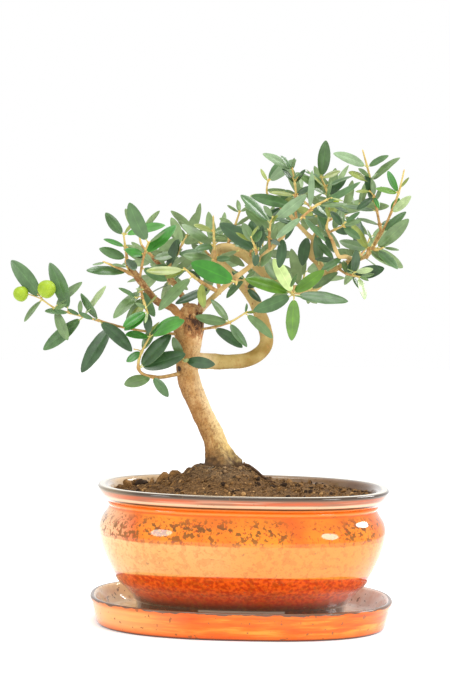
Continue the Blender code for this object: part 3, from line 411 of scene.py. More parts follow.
MASSES = (
    Mass("far_left", "trunk", metres((-38, -2, 185), (-56, -9, 185.5), (-79, -15, 189), (-94, -18, 193),
         (-110, -20, 197), (-121, -21, 200), (-130, -22, 206)), bare=0.050, seed=1, broad=1.1,
         posed=((235, 37), (124, 22, -40, 30), (58, 24, 218, 34), (113, 34, 171, 17), (47, 25, -68, 22),
         (131, 32, 229, 18)), fruits=metres((-126.5, -26, 212.5, 5.7), (-143, -22, 209, 4.8))),
    Mass("low_left", "trunk", metres((-37, 0, 161), (-54, -10, 157.5), (-65.5, -13, 159.5),
         (-68.5, -14, 165), (-66.5, -15, 173.5), (-61, -18, 184)), bare=0.026, seed=2, stem=1.45,
         broad=1.25, posed=((195, 21, -50, 17), (48, 31, 22, 31), (213, 12, 62, 18), (31, 28, 172, 18))),
    Mass("fork", "trunk", metres((-37, 0, 170), (-38.5, -8, 169), (-40.5, -13, 168)), bare=0.011, seed=32,
         broad=1.15, posed=((-4, 23, 118, 17),)),
    Mass("front_left", "left_bough", metres((-67, -12.5, 215.5), (-67, -18, 210), (-63, -23, 199)),
         bare=0.004, seed=3, broad=1.1, posed=((225, 28, -62, 19), (240, 22), (229, 14),
         (212, 20, -85, 14))),
    Mass("left_tip", "left_bough", metres((-76.5, -14, 229), (-77.7, -14, 236.5), (-79.5, -13, 248)),
         bare=0.004, follows_on=True, seed=4, broad=1.15, posed=((159, 19, -47, 14), (160, 15, -28, 14),
         (128, 19, 19, 28))),
    Mass("left_rising", "left_bough", metres((-69, -12.5, 218.5), (-66, -19, 235), (-63, -25, 243)),
         bare=0.009, seed=5, broad=1.25, posed=((-24, 18), (47, 28, 165, 13), (116, 29))),
    Mass("left_outer", "left_bough", metres((-72.5, -13, 222), (-81, -17, 226), (-91, -20, 230)),
         bare=0.004, seed=6, stem=1.3, posed=((172, 27), ())),
    Mass("left_crown", "rear_bough", metres((-62, 14, 234), (-69, 18, 241), (-71, 25, 248)), bare=0.005,
         follows_on=True, seed=7, posed=((165, 17, -10, 17), (120, 20, 57, 22))),
    Mass("left_upper", "rear_bough", metres((-53, 11.8, 223), (-47, 10, 234), (-42.5, 15, 243),
         (-40, 22, 248)), bare=0.006, seed=8, broad=1.15, posed=((75, 18, 195, 16), (11, 17, 190, 15),
         (112, 21, 30, 15), (65, 19, 150, 12))),
    Mass("middle_left", "front_bough", metres((-18.5, -12.5, 212.5), (-26, -16, 216.5), (-33, -21, 221),
         (-40, -28, 227)), bare=0.006, seed=9, stem=1.45, posed=((203, 25), (138, 11, -84, 19), (223, 31),
         (181, 25, 204, 14))),
    Mass("middle", "front_bough", metres((-17.7, -13, 213.8), (-20.5, -9, 224.5), (-22, -7, 242),
         (-23, -6, 260)), bare=0.020, seed=10, stem=1.3, broad=1.1, posed=((171, 21, 10, 10),
         (143, 25, 187, 14), (156, 14, 20, 10), ())),
    Mass("front_low", "front_bough", metres((-9, -18, 221.5), (-7.5, -23.5, 220), (-7.5, -26.5, 218)),
         bare=0.008, seed=40, broad=1.4, posed=((157, 31),)),
    Mass("front_middle", "front_bough", metres((5, -22.5, 233), (4.5, -29, 239), (2, -35, 245)), bare=0.008,
         seed=11, broad=1.2, posed=((143, 30, -95, 9), (100, 17), (118, 15, 55, 10))),
    Mass("middle_top", "front_bough", metres((13, -24.5, 240.5), (12.5, -28, 249), (13, -29, 257)),
         bare=0.007, seed=41, broad=1.15, posed=((150, 10, -30, 9), (143, 20), (137, 29, 42, 29))),
    Mass("front_tip", "front_bough", metres((26.5, -27, 254.5), (34, -29, 262), (41, -31, 268),
         (48, -34, 272)), bare=0.003, follows_on=True, seed=12, broad=0.66, posed=((160, 16, 238, 15),
         (219, 26, -43, 22), (88, 25, -20, 12), (30, 30, 4, 19), (75, 14, -30, 14))),
    Mass("star", "crossing_bough", metres((18, 19, 218.5), (25, 4, 214.5), (29, -24, 211.5)), bare=0.036,
         lean=10.0, seed=13, broad=1.15, posed=((160, 31, 39, 25), (203, 27, 118, 26), (0, 34, -90, 29))),
    Mass("low_right", "trunk", metres((-37, -1, 187), (-21, -8, 190), (-10, -12, 194), (-1, -14, 200)),
         bare=0.017, seed=14, posed=((-32, 23), (-52, 22, 171, 22, 128, 19), (-39, 24))),
    Mass("arch_top", "turning_bough", metres((-14.5, 24.5, 240.2), (-10, 24, 252), (-6, 23.5, 264.5)),
         bare=0.006, seed=15, posed=((160, 14, 200, 14), (35, 13, 150, 12), (146, 10, 100, 9))),
    Mass("arch_front", "crossing_bough", metres((1, 21.5, 233.5), (2.5, 12, 244), (3.5, 8, 256)),
         bare=0.008, seed=16, posed=((150, 13, -60, 12), (25, 11, 200, 14), ())),
    Mass("leader_top", "leader", metres((50, 8, 266), (50, 8, 276), (45.5, 8, 287)), bare=0.003,
         follows_on=True, seed=17, posed=((200, 14, -15, 14), (47, 17, 142, 28), (27, 21, 118, 12, 140, 20),
         (86, 27, 25, 13)), fruits=metres((54.5, 0, 272.5, 2.8))),
    Mass("upper_left", "upper_left_bough", metres((24, 10, 265), (16.5, 8, 270), (11, 6, 276.2),
         (11.5, 6, 284)), bare=0.004, follows_on=True, seed=18, broad=1.1, posed=((75, 12, 215, 14),
         (175, 13), (57, 20, 31, 25))),
    Mass("upper_front", "upper_left_bough", metres((31, 10, 257), (29, 1, 268), (29, -6, 278),
         (26.5, -8, 291.5)), bare=0.014, seed=19, posed=((163, 29, -25, 13), (169, 17, 35, 12),
         (131, 14, 55, 12), (150, 23, 130, 14))),
    Mass("right_upper", "right_bough", metres((83, -4, 252), (82.5, -6, 259), (78.5, -9, 275.5),
         (75, -9, 290), (71, -9, 303.5)), bare=0.005, follows_on=True, seed=20, posed=((160, 15, 30, 10),
         (170, 24), (215, 14, -65, 9, 100, 13), (46, 24, 80, 11, 156, 17), (157, 26, 30, 16), ())),
    Mass("right_outer", "right_bough", metres((79.5, -2, 243.5), (85, -10, 254), (90.5, -14, 268),
         (94, -17, 279), (96.5, -18, 291.2)), bare=0.013, seed=42, posed=((46, 21), (62, 11, 44, 18),
         (119, 16, 166, 17), ())),
    Mass("right_low", "right_bough", metres((75.7, 0, 237.3), (76.8, -5, 242.2), (81.2, -9, 241.5),
         (85.5, -13, 243)), bare=0.006, seed=22, stem=1.3, broad=1.1, posed=((-25, 20, 125, 23, 163, 20),
         (46, 31, -38, 20), ())),
    Mass("right_under", "right_bough", metres((58, 9.8, 229), (62, 2, 226), (67.5, -5, 224.5),
         (71, -7, 223.8)), bare=0.011, seed=23, broad=1.3, posed=((100, 9), (80, 17, 14, 21, -50, 11),
         (-70, 16))),
    Mass("right_middle", "leader", metres((43, 10.2, 249), (51, -5, 252), (59, -21, 256)), bare=0.010,
         seed=24, broad=1.2, posed=((110, 15, -55, 14), (70, 14, 10, 14), (130, 14, -35, 14))),
    Mass("stub_tip", "right_stub", metres((53, -9, 246), (49, -13, 254), (50, -16, 261)), bare=0.003,
         follows_on=True, seed=25, posed=((60, 10, 150, 16), (110, 16, 20, 14), (130, 14, 60, 12))),
    Mass("back_leader", "leader", metres((45.5, 9.5, 256), (54, 26, 261), (60, 44, 266)), leaf=0.027,
         gap=0.009, seed=26),
    Mass("back_arch", "crossing_bough", metres((9, 20, 226), (11, 36, 235), (9, 52, 245)), leaf=0.027,
         gap=0.009, seed=27),
    Mass("back_right", "right_bough", metres((70, 3, 235.5), (76, 21, 242), (80, 40, 250)), leaf=0.027,
         gap=0.009, seed=28),
    Mass("back_left", "rear_bough", metres((-46.5, 8.8, 215), (-56, 28, 222), (-63, 46, 230)), leaf=0.027,
         gap=0.009, sides=0.2, seed=39),
    Mass("back_middle", "turning_bough", metres((-20.5, 28, 233), (-27, 41, 237), (-31, 56, 243)),
         leaf=0.027, gap=0.009, seed=30),
    Mass("back_top", "leader", metres((47, 8.8, 259), (40, 24, 268), (32, 38, 275)), leaf=0.026, gap=0.009,
         sides=0.2, seed=33),
    Mass("back_low", "crossing_bough", metres((32, 18, 214), (36, 34, 218), (38, 48, 226)), leaf=0.026,
         gap=0.009, sides=0.2, seed=34),
    Mass("centre", "rising_bough", metres((0, 23.5, 212.5), (-1, 10, 216), (-2, -2, 221)), bare=0.010,
         seed=31, posed=((-40, 13, 35, 12), (222, 17, 150, 10))),
)


def smooth(points, steps):
    """Points on a Catmull-Rom curve through the given ones, with `steps` spans between each two."""
    knots = [Vector(p) for p in points]
    knots = [2 * knots[0] - knots[1], *knots, 2 * knots[-1] - knots[-2]]
    out = []
    for a, b, c, d in zip(knots, knots[1:], knots[2:], knots[3:]):
        for k in range(steps):
            t = k / steps
            out.append(0.5 * (2 * b + (c - a) * t + (2 * a - 5 * b + 4 * c - d) * t**2
                              + (3 * b - a - 3 * c + d) * t**3))
    out.append(knots[-2])
    return out


def blend(values, share):
    """The value at `share` of the way along a list of evenly spaced values."""
    place = min(max(share, 0.0), 1.0) * (len(values) - 1)
    first = min(int(place), len(values) - 2)
    return values[first] + (values[first + 1] - values[first]) * (place - first)


def tapering(points, radii):
    """Radii for each point, by the length of the line so far."""
    lengths = [0.0]
    for a, b in zip(points, points[1:]):
        lengths.append(lengths[-1] + (b - a).length)
    return [blend(radii, length / lengths[-1]) for length in lengths]


def tangents(points):
    ends = [points[0], *points, points[-1]]
    return [(c - a).normalized() for a, c in zip(ends, ends[2:])]


def across(direction, hint=UP):
    """A unit vector at right angles to `direction`, as near `hint` as it can be."""
    side = hint - direction * hint.dot(direction)
    if side.length < 0.05:
        side = Vector((1.0, 0.0, 0.0)) - direction * direction.x
    return side.normalized()


def tube_rings(points, radii, sides):
    """Rings round a line, turned as little as possible from one to the next."""
    rings = []
    side = across(tangents(points)[0])
    for point, along, radius in zip(points, tangents(points), radii):
        side = across(along, side)
        other = along.cross(side)
        ring = []
        for i in range(sides):
            angle = 2 * math.pi * i / sides
            ring.append(point + radius * (side * math.cos(angle) + other * math.sin(angle)))
        rings.append(ring)
    return rings


def oval(half_length, height):
    """One level ring of the pot's oval."""
    return [Vector((x, y, height)) for x, y in outline(half_length, half_length - OVAL_DIFFERENCE)]


def outline(half_length, half_depth, centre_x=0.0):
    """Points round a superellipse."""
    points = []
    for i in range(OVAL_STEPS):
        angle = 2 * math.pi * i / OVAL_STEPS
        c, s = math.cos(angle), math.sin(angle)
        x = centre_x + half_length * math.copysign(abs(c) ** (2 / OVAL_POWER), c)
        points.append((x, half_depth * math.copysign(abs(s) ** (2 / OVAL_POWER), s)))
    return points


def pot_inside(height):
    """Half length of the pot's inner wall at a height."""
    if height > POT_NECK:
        share = (height - POT_NECK) / (POT_RIM_TOP - POT_LIP_DEPTH - POT_NECK)
        return pot_inside(POT_NECK) + (POT_RIM - POT_LIP - pot_inside(POT_NECK)) * share
    for (a, low), (b, high) in zip(POT_SIDE, POT_SIDE[1:]):
        if height <= high:
            return a + (b - a) * (height - low) / (high - low) - POT_WALL


def soil_height(x, y):
    """A low dome with a mound round the trunk's foot, and gentle lumps."""
    half = pot_inside(SOIL_EDGE)
    out = math.hypot(x / half, y / (half - OVAL_DIFFERENCE))
    dome = SOIL_EDGE + SOIL_DOME * max(0.0, 1 - out**2.4)
    lumps = 0.0009 * math.sin(170 * x + 40 * y) * math.sin(150 * y - 60 * x + 1.0)
    distance = max(0.0, math.hypot(x - TRUNK[0][0], y) - SOIL_FOOT_RADIUS)
    mound = (SOIL_FOOT - dome) * math.exp(-((distance / SOIL_SLOPE_RADIUS) ** 1.5))
    return dome + mound + lumps * min(1.0, distance / SOIL_SLOPE_RADIUS) * max(0.0, 1.05 - out)


def trunk_line():
    """The trunk's smooth centre line, and the radius at each of its points."""
    radii = [TRUNK[0][3]]
    for a, b in zip(TRUNK, TRUNK[1:]):
        radii += [(a[3] + b[3]) / 2, b[3]]
    return smooth([row[:3] for row in TRUNK], 2), radii


def sweep_limbs():
    """The pieces of the long low bough, parted at each bend."""
    spans = len(SWEEP) - 1
    pieces = []
    carrier = "trunk"
    for name, (first, last) in SWEEP_PIECES.items():
        radii = tuple(blend(SWEEP_RADII, k / spans) for k in range(first, last + 1))
        pieces.append(Limb(name, carrier, SWEEP[first:last + 1], radii, carrier != "trunk"))
        carrier = name
    return pieces


def sweep_line(limb):
    """A piece of the low bough, cut from the one smooth course."""
    course = smooth(SWEEP, 2)
    first = SWEEP.index(limb.points[0]) * 2
    last = SWEEP.index(limb.points[-1]) * 2
    return course[first:last + 1]


class Tree:
    """The limbs' lines, and what already takes up room, as balls in a grid."""

    def __init__(self):
        self.lines = {}
        self.grid = {}
        self.limbs = [*sweep_limbs(), *LIMBS]
        self.set_line("trunk", *trunk_line())
        for limb in self.limbs:
            line = sweep_line(limb) if limb.name in SWEEP_PIECES else smooth(limb.points, 2)
            if limb.follows_on:
                line = self.follow_on(limb.carrier, line)
            self.set_line(limb.name, line, tapering(line, limb.radii))
        for mass in MASSES:
            line = smooth(mass.points, 2)
            if mass.follows_on:
                line = self.follow_on(mass.carrier, line)
            radii = tapering(line, (TWIG_ROOT_RADIUS * mass.stem, TWIG_TIP_RADIUS * mass.stem))
            self.lines[mass.name] = (line, radii)
            self.take_twig(mass.name, line)

    def take_along(self, owner, points, radii):
        for a, b, ra, rb in zip(points, points[1:], radii, radii[1:]):
            count = max(1, math.ceil((b - a).length / BALL_STEP))
            for k in range(count):
                self.take(owner, a.lerp(b, k / count), ra + (rb - ra) * k / count)

    def take_twig(self, owner, points):
        self.take_along(owner, points[1:], [TWIG_BALL] * len(points))

    def set_line(self, name, points, radii):
        self.lines[name] = (points, radii)
        self.take_along("limb", points, radii)

    def follow_on(self, carrier, line):
        """The same line, started square to the carrier's tip and a gap beyond it."""
        tip = self.lines[carrier][0][-1]
        along = tangents(self.lines[carrier][0])[-1]
        ahead = [p for p in line[1:] if (p - tip).dot(along) > 1.5 * FOLLOW_STEP]
        return [tip + along * GAP, tip + along * FOLLOW_STEP, *ahead]

    def take(self, owner, point, radius):
        cell = tuple(math.floor(c / GRID) for c in point)
        self.grid.setdefault(cell, []).append((owner, point, radius))

    def room(self, owner, point, radius, own_share=1.0):
        """True where a ball at `point` is clear of all others. It may come nearer its own mass."""
        cell = tuple(math.floor(c / GRID) for c in point)
        for dx in (-1, 0, 1):
            for dy in (-1, 0, 1):
                for dz in (-1, 0, 1):
                    near = self.grid.get((cell[0] + dx, cell[1] + dy, cell[2] + dz), ())
                    for other, centre, size in near:
                        reach = radius + size
                        if other == owner:
                            reach *= own_share
                        if (centre - point).length < reach:
                            return False
        return True


def leaf_shape(leaf, share):
    """Centre and half width of a leaf's blade at a share of its length."""
    bend = leaf.droop * share**2 * leaf.length
    centre = leaf.root + leaf.along * (leaf.length * share) - leaf.face * bend
    half = PETIOLE_WIDTH / 2
    if share > PETIOLE_SHARE:
        blade = min(1.0, (share - PETIOLE_SHARE) / (1 - PETIOLE_SHARE))
        half += (leaf.width - PETIOLE_WIDTH) / 2 * max(0.0, math.sin(math.pi * blade)) ** BLADE_FULLNESS
    return centre, half


def leaf_balls(leaf):
    """Points that fill a leaf's blade, each with its share of the length."""
    side = leaf.along.cross(leaf.face)
    for step in range(2, 11):
        share = step / 10
        centre, half = leaf_shape(leaf, share)
        yield share, centre
        inner = half - LEAF_BALL * 0.8
        if inner > 0.0004:
            yield share, centre + side * inner
            yield share, centre - side * inner


def leaf_fits(tree, name, leaf):
    for share, point in leaf_balls(leaf):
        if not tree.room(name, point, LEAF_BALL, 0.0 if share < 0.45 else 0.75):
            return False
    return True


def make_leaf(rng, root, tangent, along, length, width, swing):
    """A leaf whose upper side faces out of the crown and the sky, give or take `swing` degrees."""
    outward = Vector((OUTWARD_PER_METRE * root.x, -0.75 if root.y < BACK_FROM else 0.75, 0.45))
    face = across(along, outward + tangent * 0.25)
    face.rotate(Matrix.Rotation(math.radians(rng.uniform(-swing, swing)), 3, along))
    return Leaf(root, along, face, length, width, rng.uniform(0.02, 0.13))


def heading(turn, lean):
    """The direction at an angle seen from the front, leaning towards the front."""
    return Vector((math.cos(turn) * math.cos(lean), -math.sin(lean), math.sin(turn) * math.cos(lean)))


def add_leaf(tree, mass, rng, growth, root, tangent, out, size):
    """A leaf that spreads from its twig towards `out`, at the first of a few tries that has room."""
    for _ in range(TRIES):
        spread = math.radians(LEAF_SPREAD + rng.uniform(-14, 14))
        jitter = Vector((rng.uniform(-0.16, 0.16), rng.uniform(-0.16, 0.16), rng.uniform(-0.14, 0.10)))
        along = (tangent * math.cos(spread) + out * math.sin(spread) + jitter).normalized()
        length = mass.leaf * size * rng.uniform(0.86, 1.14)
        width = length * rng.uniform(0.27, 0.34)
        if keep_leaf(tree, mass, growth, make_leaf(rng, root, tangent, along, length, width, LEAF_SWING)):
            return


def add_posed_leaf(tree, mass, rng, growth, root, tangent, angle, length):
    """A leaf at a given angle as seen from the front, leaning a little out of the crown or into it.
    The shorter it is, the rounder."""
    share = 0.31 + ROUNDER_PER_METRE * max(0.0, LONG_LEAF - length)
    for attempt in range(TRIES):
        lean = math.radians(rng.uniform(-12, mass.lean) + rng.uniform(-5, 5) * attempt)
        turn = math.radians(angle + rng.uniform(-2.5, 2.5) * attempt)
        along = heading(turn, lean if root.y < BACK_FROM else -lean)
        width = length * mass.broad * share * rng.uniform(0.9, 1.1)
        leaf = make_leaf(rng, root, tangent, along, length, width, POSED_SWING)
        if keep_leaf(tree, mass, growth, leaf, angle):
            return


def keep_leaf(tree, mass, growth, leaf, angle=None):
    if not leaf_fits(tree, mass.name, leaf):
        return False
    growth.leaves.append(leaf)
    growth.angles.append(angle)
    for _, point in leaf_balls(leaf):
        tree.take(mass.name, point, LEAF_BALL)
    return True


def twig_fits(tree, name, points):
    return all(tree.room(name, p, TWIG_BALL + TWIG_CLEARANCE, 0.0) for p in points[1:])


def add_twig(tree, mass, growth, points, radii):
    growth.twigs.append(Twig(points, radii))
    tree.take_twig(mass.name, points)


def place_on(line, distance):
    """Point and direction at a distance along a line."""
    directions = tangents(line)
    for k, (a, b) in enumerate(zip(line, line[1:])):
        span = (b - a).length
        if distance <= span or k == len(line) - 2:
            share = min(distance / span, 1.0)
            return a.lerp(b, share), directions[k].lerp(directions[k + 1], share).normalized()
        distance -= span


def length_of(line):
    return sum((b - a).length for a, b in zip(line, line[1:]))


def pose_leaves(tree, mass, rng, growth, line):
    """The nodes whose leaves are given, spaced evenly, the last one just short of the twig's tip."""
    last = length_of(line) - SHORT_OF_TIP
    for k, row in enumerate(mass.posed):
        share = k / max(1, len(mass.posed) - 1)
        root, tangent = place_on(line, mass.bare + (last - mass.bare) * share)
        for angle, length in zip(row[::2], row[1::2]):
            add_posed_leaf(tree, mass, rng, growth, root, tangent, angle, length / 1000)


def rule_pairs(tree, mass, rng, growth, line, bare, sides, roll, size):
    """Opposite pairs along a twig, each pair about square to the last, and one more pair at its tip."""
    total = length_of(line)
    place = bare
    turn = math.radians(roll)
    while place < total:
        root, tangent = place_on(line, place)
        flat = across(tangent, Vector((tangent.z, 0.0, 0.01 - tangent.x)))
        for half_turn in (0.0, math.pi):
            out = flat.copy()
            out.rotate(Matrix.Rotation(turn + half_turn, 3, tangent))
            if rng.random() < sides and place < total * 0.8:
                grow_side(tree, mass, rng, growth, root, tangent, out)
            else:
                add_leaf(tree, mass, rng, growth, root, tangent, out, size)
        turn += math.pi / 2 + rng.uniform(-0.3, 0.3)
        place += mass.gap * rng.uniform(0.8, 1.25)
    root, tangent = place_on(line, total - SHORT_OF_TIP)
    for lean in (-1, 1):
        out = across(tangent, Vector((lean, rng.uniform(-0.6, 0.6), 0.2)))
        add_leaf(tree, mass, rng, growth, root, tangent * 1.8, out, size * 0.9)


def grow_side(tree, mass, rng, growth, root, tangent, out):
    """A side twig with its own leaves, or a leaf where there is no room for one."""
    length = rng.uniform(0.016, 0.026)
    for _ in range(TRIES):
        jitter = Vector((rng.uniform(-0.2, 0.2), rng.uniform(-0.2, 0.2), 0.0))
        start = (tangent * 0.75 + out * 0.85 + jitter).normalized()
        middle = root + start * length * 0.5
        line = smooth((root, middle, middle + (start + UP * 0.35).normalized() * length * 0.5), 1)
        if twig_fits(tree, mass.name, line):
            radii = tapering(line, (TWIG_TIP_RADIUS * 1.2, TWIG_TIP_RADIUS * 0.9))
            add_twig(tree, mass, growth, line, radii)
            rule_pairs(tree, mass, rng, growth, line, 0.009, 0.0, rng.uniform(0, 90), 0.88)
            return
    add_leaf(tree, mass, rng, growth, root, tangent, out, 1.0)


def grow(tree, mass):
    """All twigs, leaves and fruits of one mass."""
    rng = random.Random(TREE_SEED + mass.seed)
    growth = Growth()
    line, radii = tree.lines[mass.name]
    growth.twigs.append(Twig(line, radii))
    for x, y, z, radius in mass.fruits:
        centre = Vector((x, y, z))
        growth.fruits.append((centre, radius))
        tree.take(mass.name, centre, radius + GAP)
        stalk_root = min(line, key=lambda p: (p - centre).length)
        stalk = smooth((stalk_root, stalk_root.lerp(centre, 0.6) + UP * 0.0008, centre), 2)
        add_twig(tree, mass, growth, stalk, [TWIG_TIP_RADIUS] * len(stalk))
    if mass.posed:
        pose_leaves(tree, mass, rng, growth, line)
    else:
        rule_pairs(tree, mass, rng, growth, line, mass.bare, mass.sides, FIRST_PAIR_TURN, 1.0)
    return growth



def shade(rgb):
    """Linear colour from red, green and blue of 255."""
    return tuple(((c / 255 + 0.055) / 1.055) ** 2.4 if c > 10 else c / 255 / 12.92 for c in rgb)


class Skin:
    """Points and faces gathered into one mesh, each face with its material's number."""

    def __init__(self):
        self.points = []
        self.faces = []
        self.kinds = []

    def add(self, points, faces, kinds):
        first = len(self.points)
        self.points += points
        self.faces += [[first + i for i in face] for face in faces]
        self.kinds += [kinds] * len(faces) if isinstance(kinds, int) else kinds

    def loft(self, rings, kinds=0):
        """Rings of one count, joined and capped. `kinds` is a number or one for each place round."""
        count = len(rings[0])
        faces = []
        tints = []
        for row in range(len(rings) - 1):
            for i in range(count):
                j = (i + 1) % count
                low, high = row * count, (row + 1) * count
                faces.append((low + i, low + j, high + j, high + i))
                tints.append(kinds if isinstance(kinds, int) else kinds[i])
        last = (len(rings) - 1) * count
        faces.append(tuple(range(count))[::-1])
        faces.append(tuple(last + i for i in range(count)))
        tints += [tints[0], tints[0]]
        self.add([p for ring in rings for p in ring], faces, tints)

    def tube(self, points, radii, sides, kind=0):
        self.loft(tube_rings(points, radii, sides), kind)

    def mesh(self, name, materials):
        data = bpy.data.meshes.new(name)
        data.from_pydata([tuple(p) for p in self.points], [], self.faces)
        for material in materials:
            data.materials.append(material)
        return data

    def made(self, name, materials, slot, nodes=(), sharp=50):
        """The piece, smooth but for edges of more than `sharp` degrees."""
        data = self.mesh(name, materials)
        data.polygons.foreach_set("material_index", self.kinds)
        mesh = bmesh.new()
        mesh.from_mesh(data)
        bmesh.ops.recalc_face_normals(mesh, faces=mesh.faces)
        mesh.to_mesh(data)
        mesh.free()
        data.shade_smooth()
        data.set_sharp_from_angle(angle=math.radians(sharp))
        return placed(bpy.data.objects.new(name, data), nodes)


def placed(obj, nodes=()):
    bpy.context.scene.collection.objects.link(obj)
    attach(obj, "root")
    if nodes:
        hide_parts(*nodes)
    return obj


class Shader:
    """A material's node tree. `tone` is its colour so far, and `over` lays another colour on it.
    A colour is red, green and blue of 255, or the output of a node."""

    def __init__(self, name, tone=None, **sockets):
        self.material = bpy.data.materials.new(name)
        self.material.use_nodes = True
        self.tree = self.material.node_tree
        self.base = self.tree.nodes["Principled BSDF"]
        for socket, value in sockets.items():
            self.base.inputs[socket.replace("_", " ")].default_value = value
        self.place = self.node("ShaderNodeTexCoord").outputs["Object"]
        self.tone = tone

    def fill(self, socket, value):
        """Links a node's output to an input, or sets a plain value or colour there."""
        if isinstance(value, bpy.types.NodeSocket):
            self.tree.links.new(value, socket)
        elif socket.type == "RGBA":
            socket.default_value = (*shade(value), 1.0)
        else:
            socket.default_value = value

    def node(self, kind, **values):
        """A new node. Each value goes to the input of that name, or else is a setting."""
        made = self.tree.nodes.new(kind)
        for key, value in values.items():
            socket = made.inputs.get(key.replace("_", " "))
            if socket is None:
                setattr(made, key, value)
            else:
                self.fill(socket, value)
        return made

    def noise(self, scale, detail, flat=1.0, rough=0.5):
        """Noise, pressed flat where `flat` is more than 1 and drawn out upwards where it is less."""
        where = self.place
        if flat != 1.0:
            where = self.node("ShaderNodeMapping", Vector=where, Scale=(1.0, 1.0, flat)).outputs["Vector"]
        made = self.node("ShaderNodeTexNoise", Vector=where, Scale=scale, Detail=detail, Roughness=rough)
        return made.outputs["Fac"]

    def ramp(self, factor, *stops):
        """`stops` are (place, value), where a value is a grey or an 8-bit colour."""
        made = self.node("ShaderNodeValToRGB", Fac=factor)
        elements = made.color_ramp.elements
        while len(elements) < len(stops):
            elements.new(0.5)
        for element, (place, value) in zip(elements, stops):
            element.position = place
            colour = shade(value) if isinstance(value, tuple) else (value, value, value)
            element.color = (*colour, 1.0)
        return made.outputs["Color"]

    def spots(self, scale, detail, low, high, most=1.0, least=0.0, **kind):
        """A share that goes from `least` to `most` where the noise goes from `low` to `high`."""
        return self.ramp(self.noise(scale, detail, **kind), (low, least), (high, most))

    def math(self, operation, *values, clamp=False):
        made = self.node("ShaderNodeMath", operation=operation, use_clamp=clamp)
        for socket, value in zip(made.inputs, values):
            self.fill(socket, value)
        return made.outputs["Value"]

    def times(self, first, *others):
        for other in others:
            first = self.math("MULTIPLY", first, other)
        return first

    def ragged(self, value, grain, reach, shift):
        """A value moved by noise times `reach`, and by `shift`."""
        return self.math("ADD", value, self.math("MULTIPLY_ADD", grain, reach, shift))

    def mix(self, share, a, b):
        made = self.node("ShaderNodeMix", data_type="RGBA")
        for place, value in ((0, share), (6, a), (7, b)):
            self.fill(made.inputs[place], value)
        return made.outputs[2]

    def over(self, colour, *shares):
        """Lays a colour over the tone, by the product of the shares."""
        self.tone = self.mix(self.times(*shares), self.tone, colour)

    def axis(self, name):
        return self.node("ShaderNodeSeparateXYZ", Vector=self.place).outputs[name]

    def between(self, axis, low, high):
        """A share that rises from 0 to 1 between two places along an axis."""
        made = self.node("ShaderNodeMapRange", Value=self.axis(axis), From_Min=low, From_Max=high)
        return made.outputs["Result"]

    def near(self, centre, inner, outer):
        """1 within `inner` of a point, falling to 0 at `outer`."""
        gap = self.node("ShaderNodeVectorMath", operation="DISTANCE", Vector=self.place)
        gap.inputs[1].default_value = centre
        made = self.node("ShaderNodeMapRange", Value=gap.outputs["Value"], From_Min=inner, From_Max=outer,
                         To_Min=1.0, To_Max=0.0)
        return made.outputs["Result"]

    def done(self, *bump):
        """The material. `bump` is the scale and detail of a bump's noise, its depth and strength."""
        self.tree.links.new(self.tone, self.base.inputs["Base Color"])
        if bump:
            scale, detail, depth, strength = bump
            made = self.node("ShaderNodeBump", Height=self.noise(scale, detail), Strength=strength,
                             Distance=depth)
            self.tree.links.new(made.outputs["Normal"], self.base.inputs["Normal"])
        return self.material


def lip_glaze(s):
    """The lip's bands from its neck up to its top edge, with brown streaks and painted pale highlights on its
    face. The bands hold painted shade under the lip's roll, a painted highlight band, and a dark band and
    white top edge that are a painted reflection.
    """
    height = s.between("Z", *LIP_HEIGHTS)
    face = s.ramp(height, (0.53, 0.0), (0.60, 1.0), (0.78, 1.0), (0.82, 0.0))
    lip = s.ramp(height, *LIP_BANDS)
    lip = s.mix(s.times(s.spots(30.0, 6.0, 0.45, 0.58, 0.6, flat=14.0), face), lip, (120, 92, 66))
    # Painted highlights: pale streaks on the lip's face
    return s.mix(s.times(s.spots(20.0, 3.0, 0.48, 0.70, 0.35, flat=24.0), face), lip, (238, 206, 170))


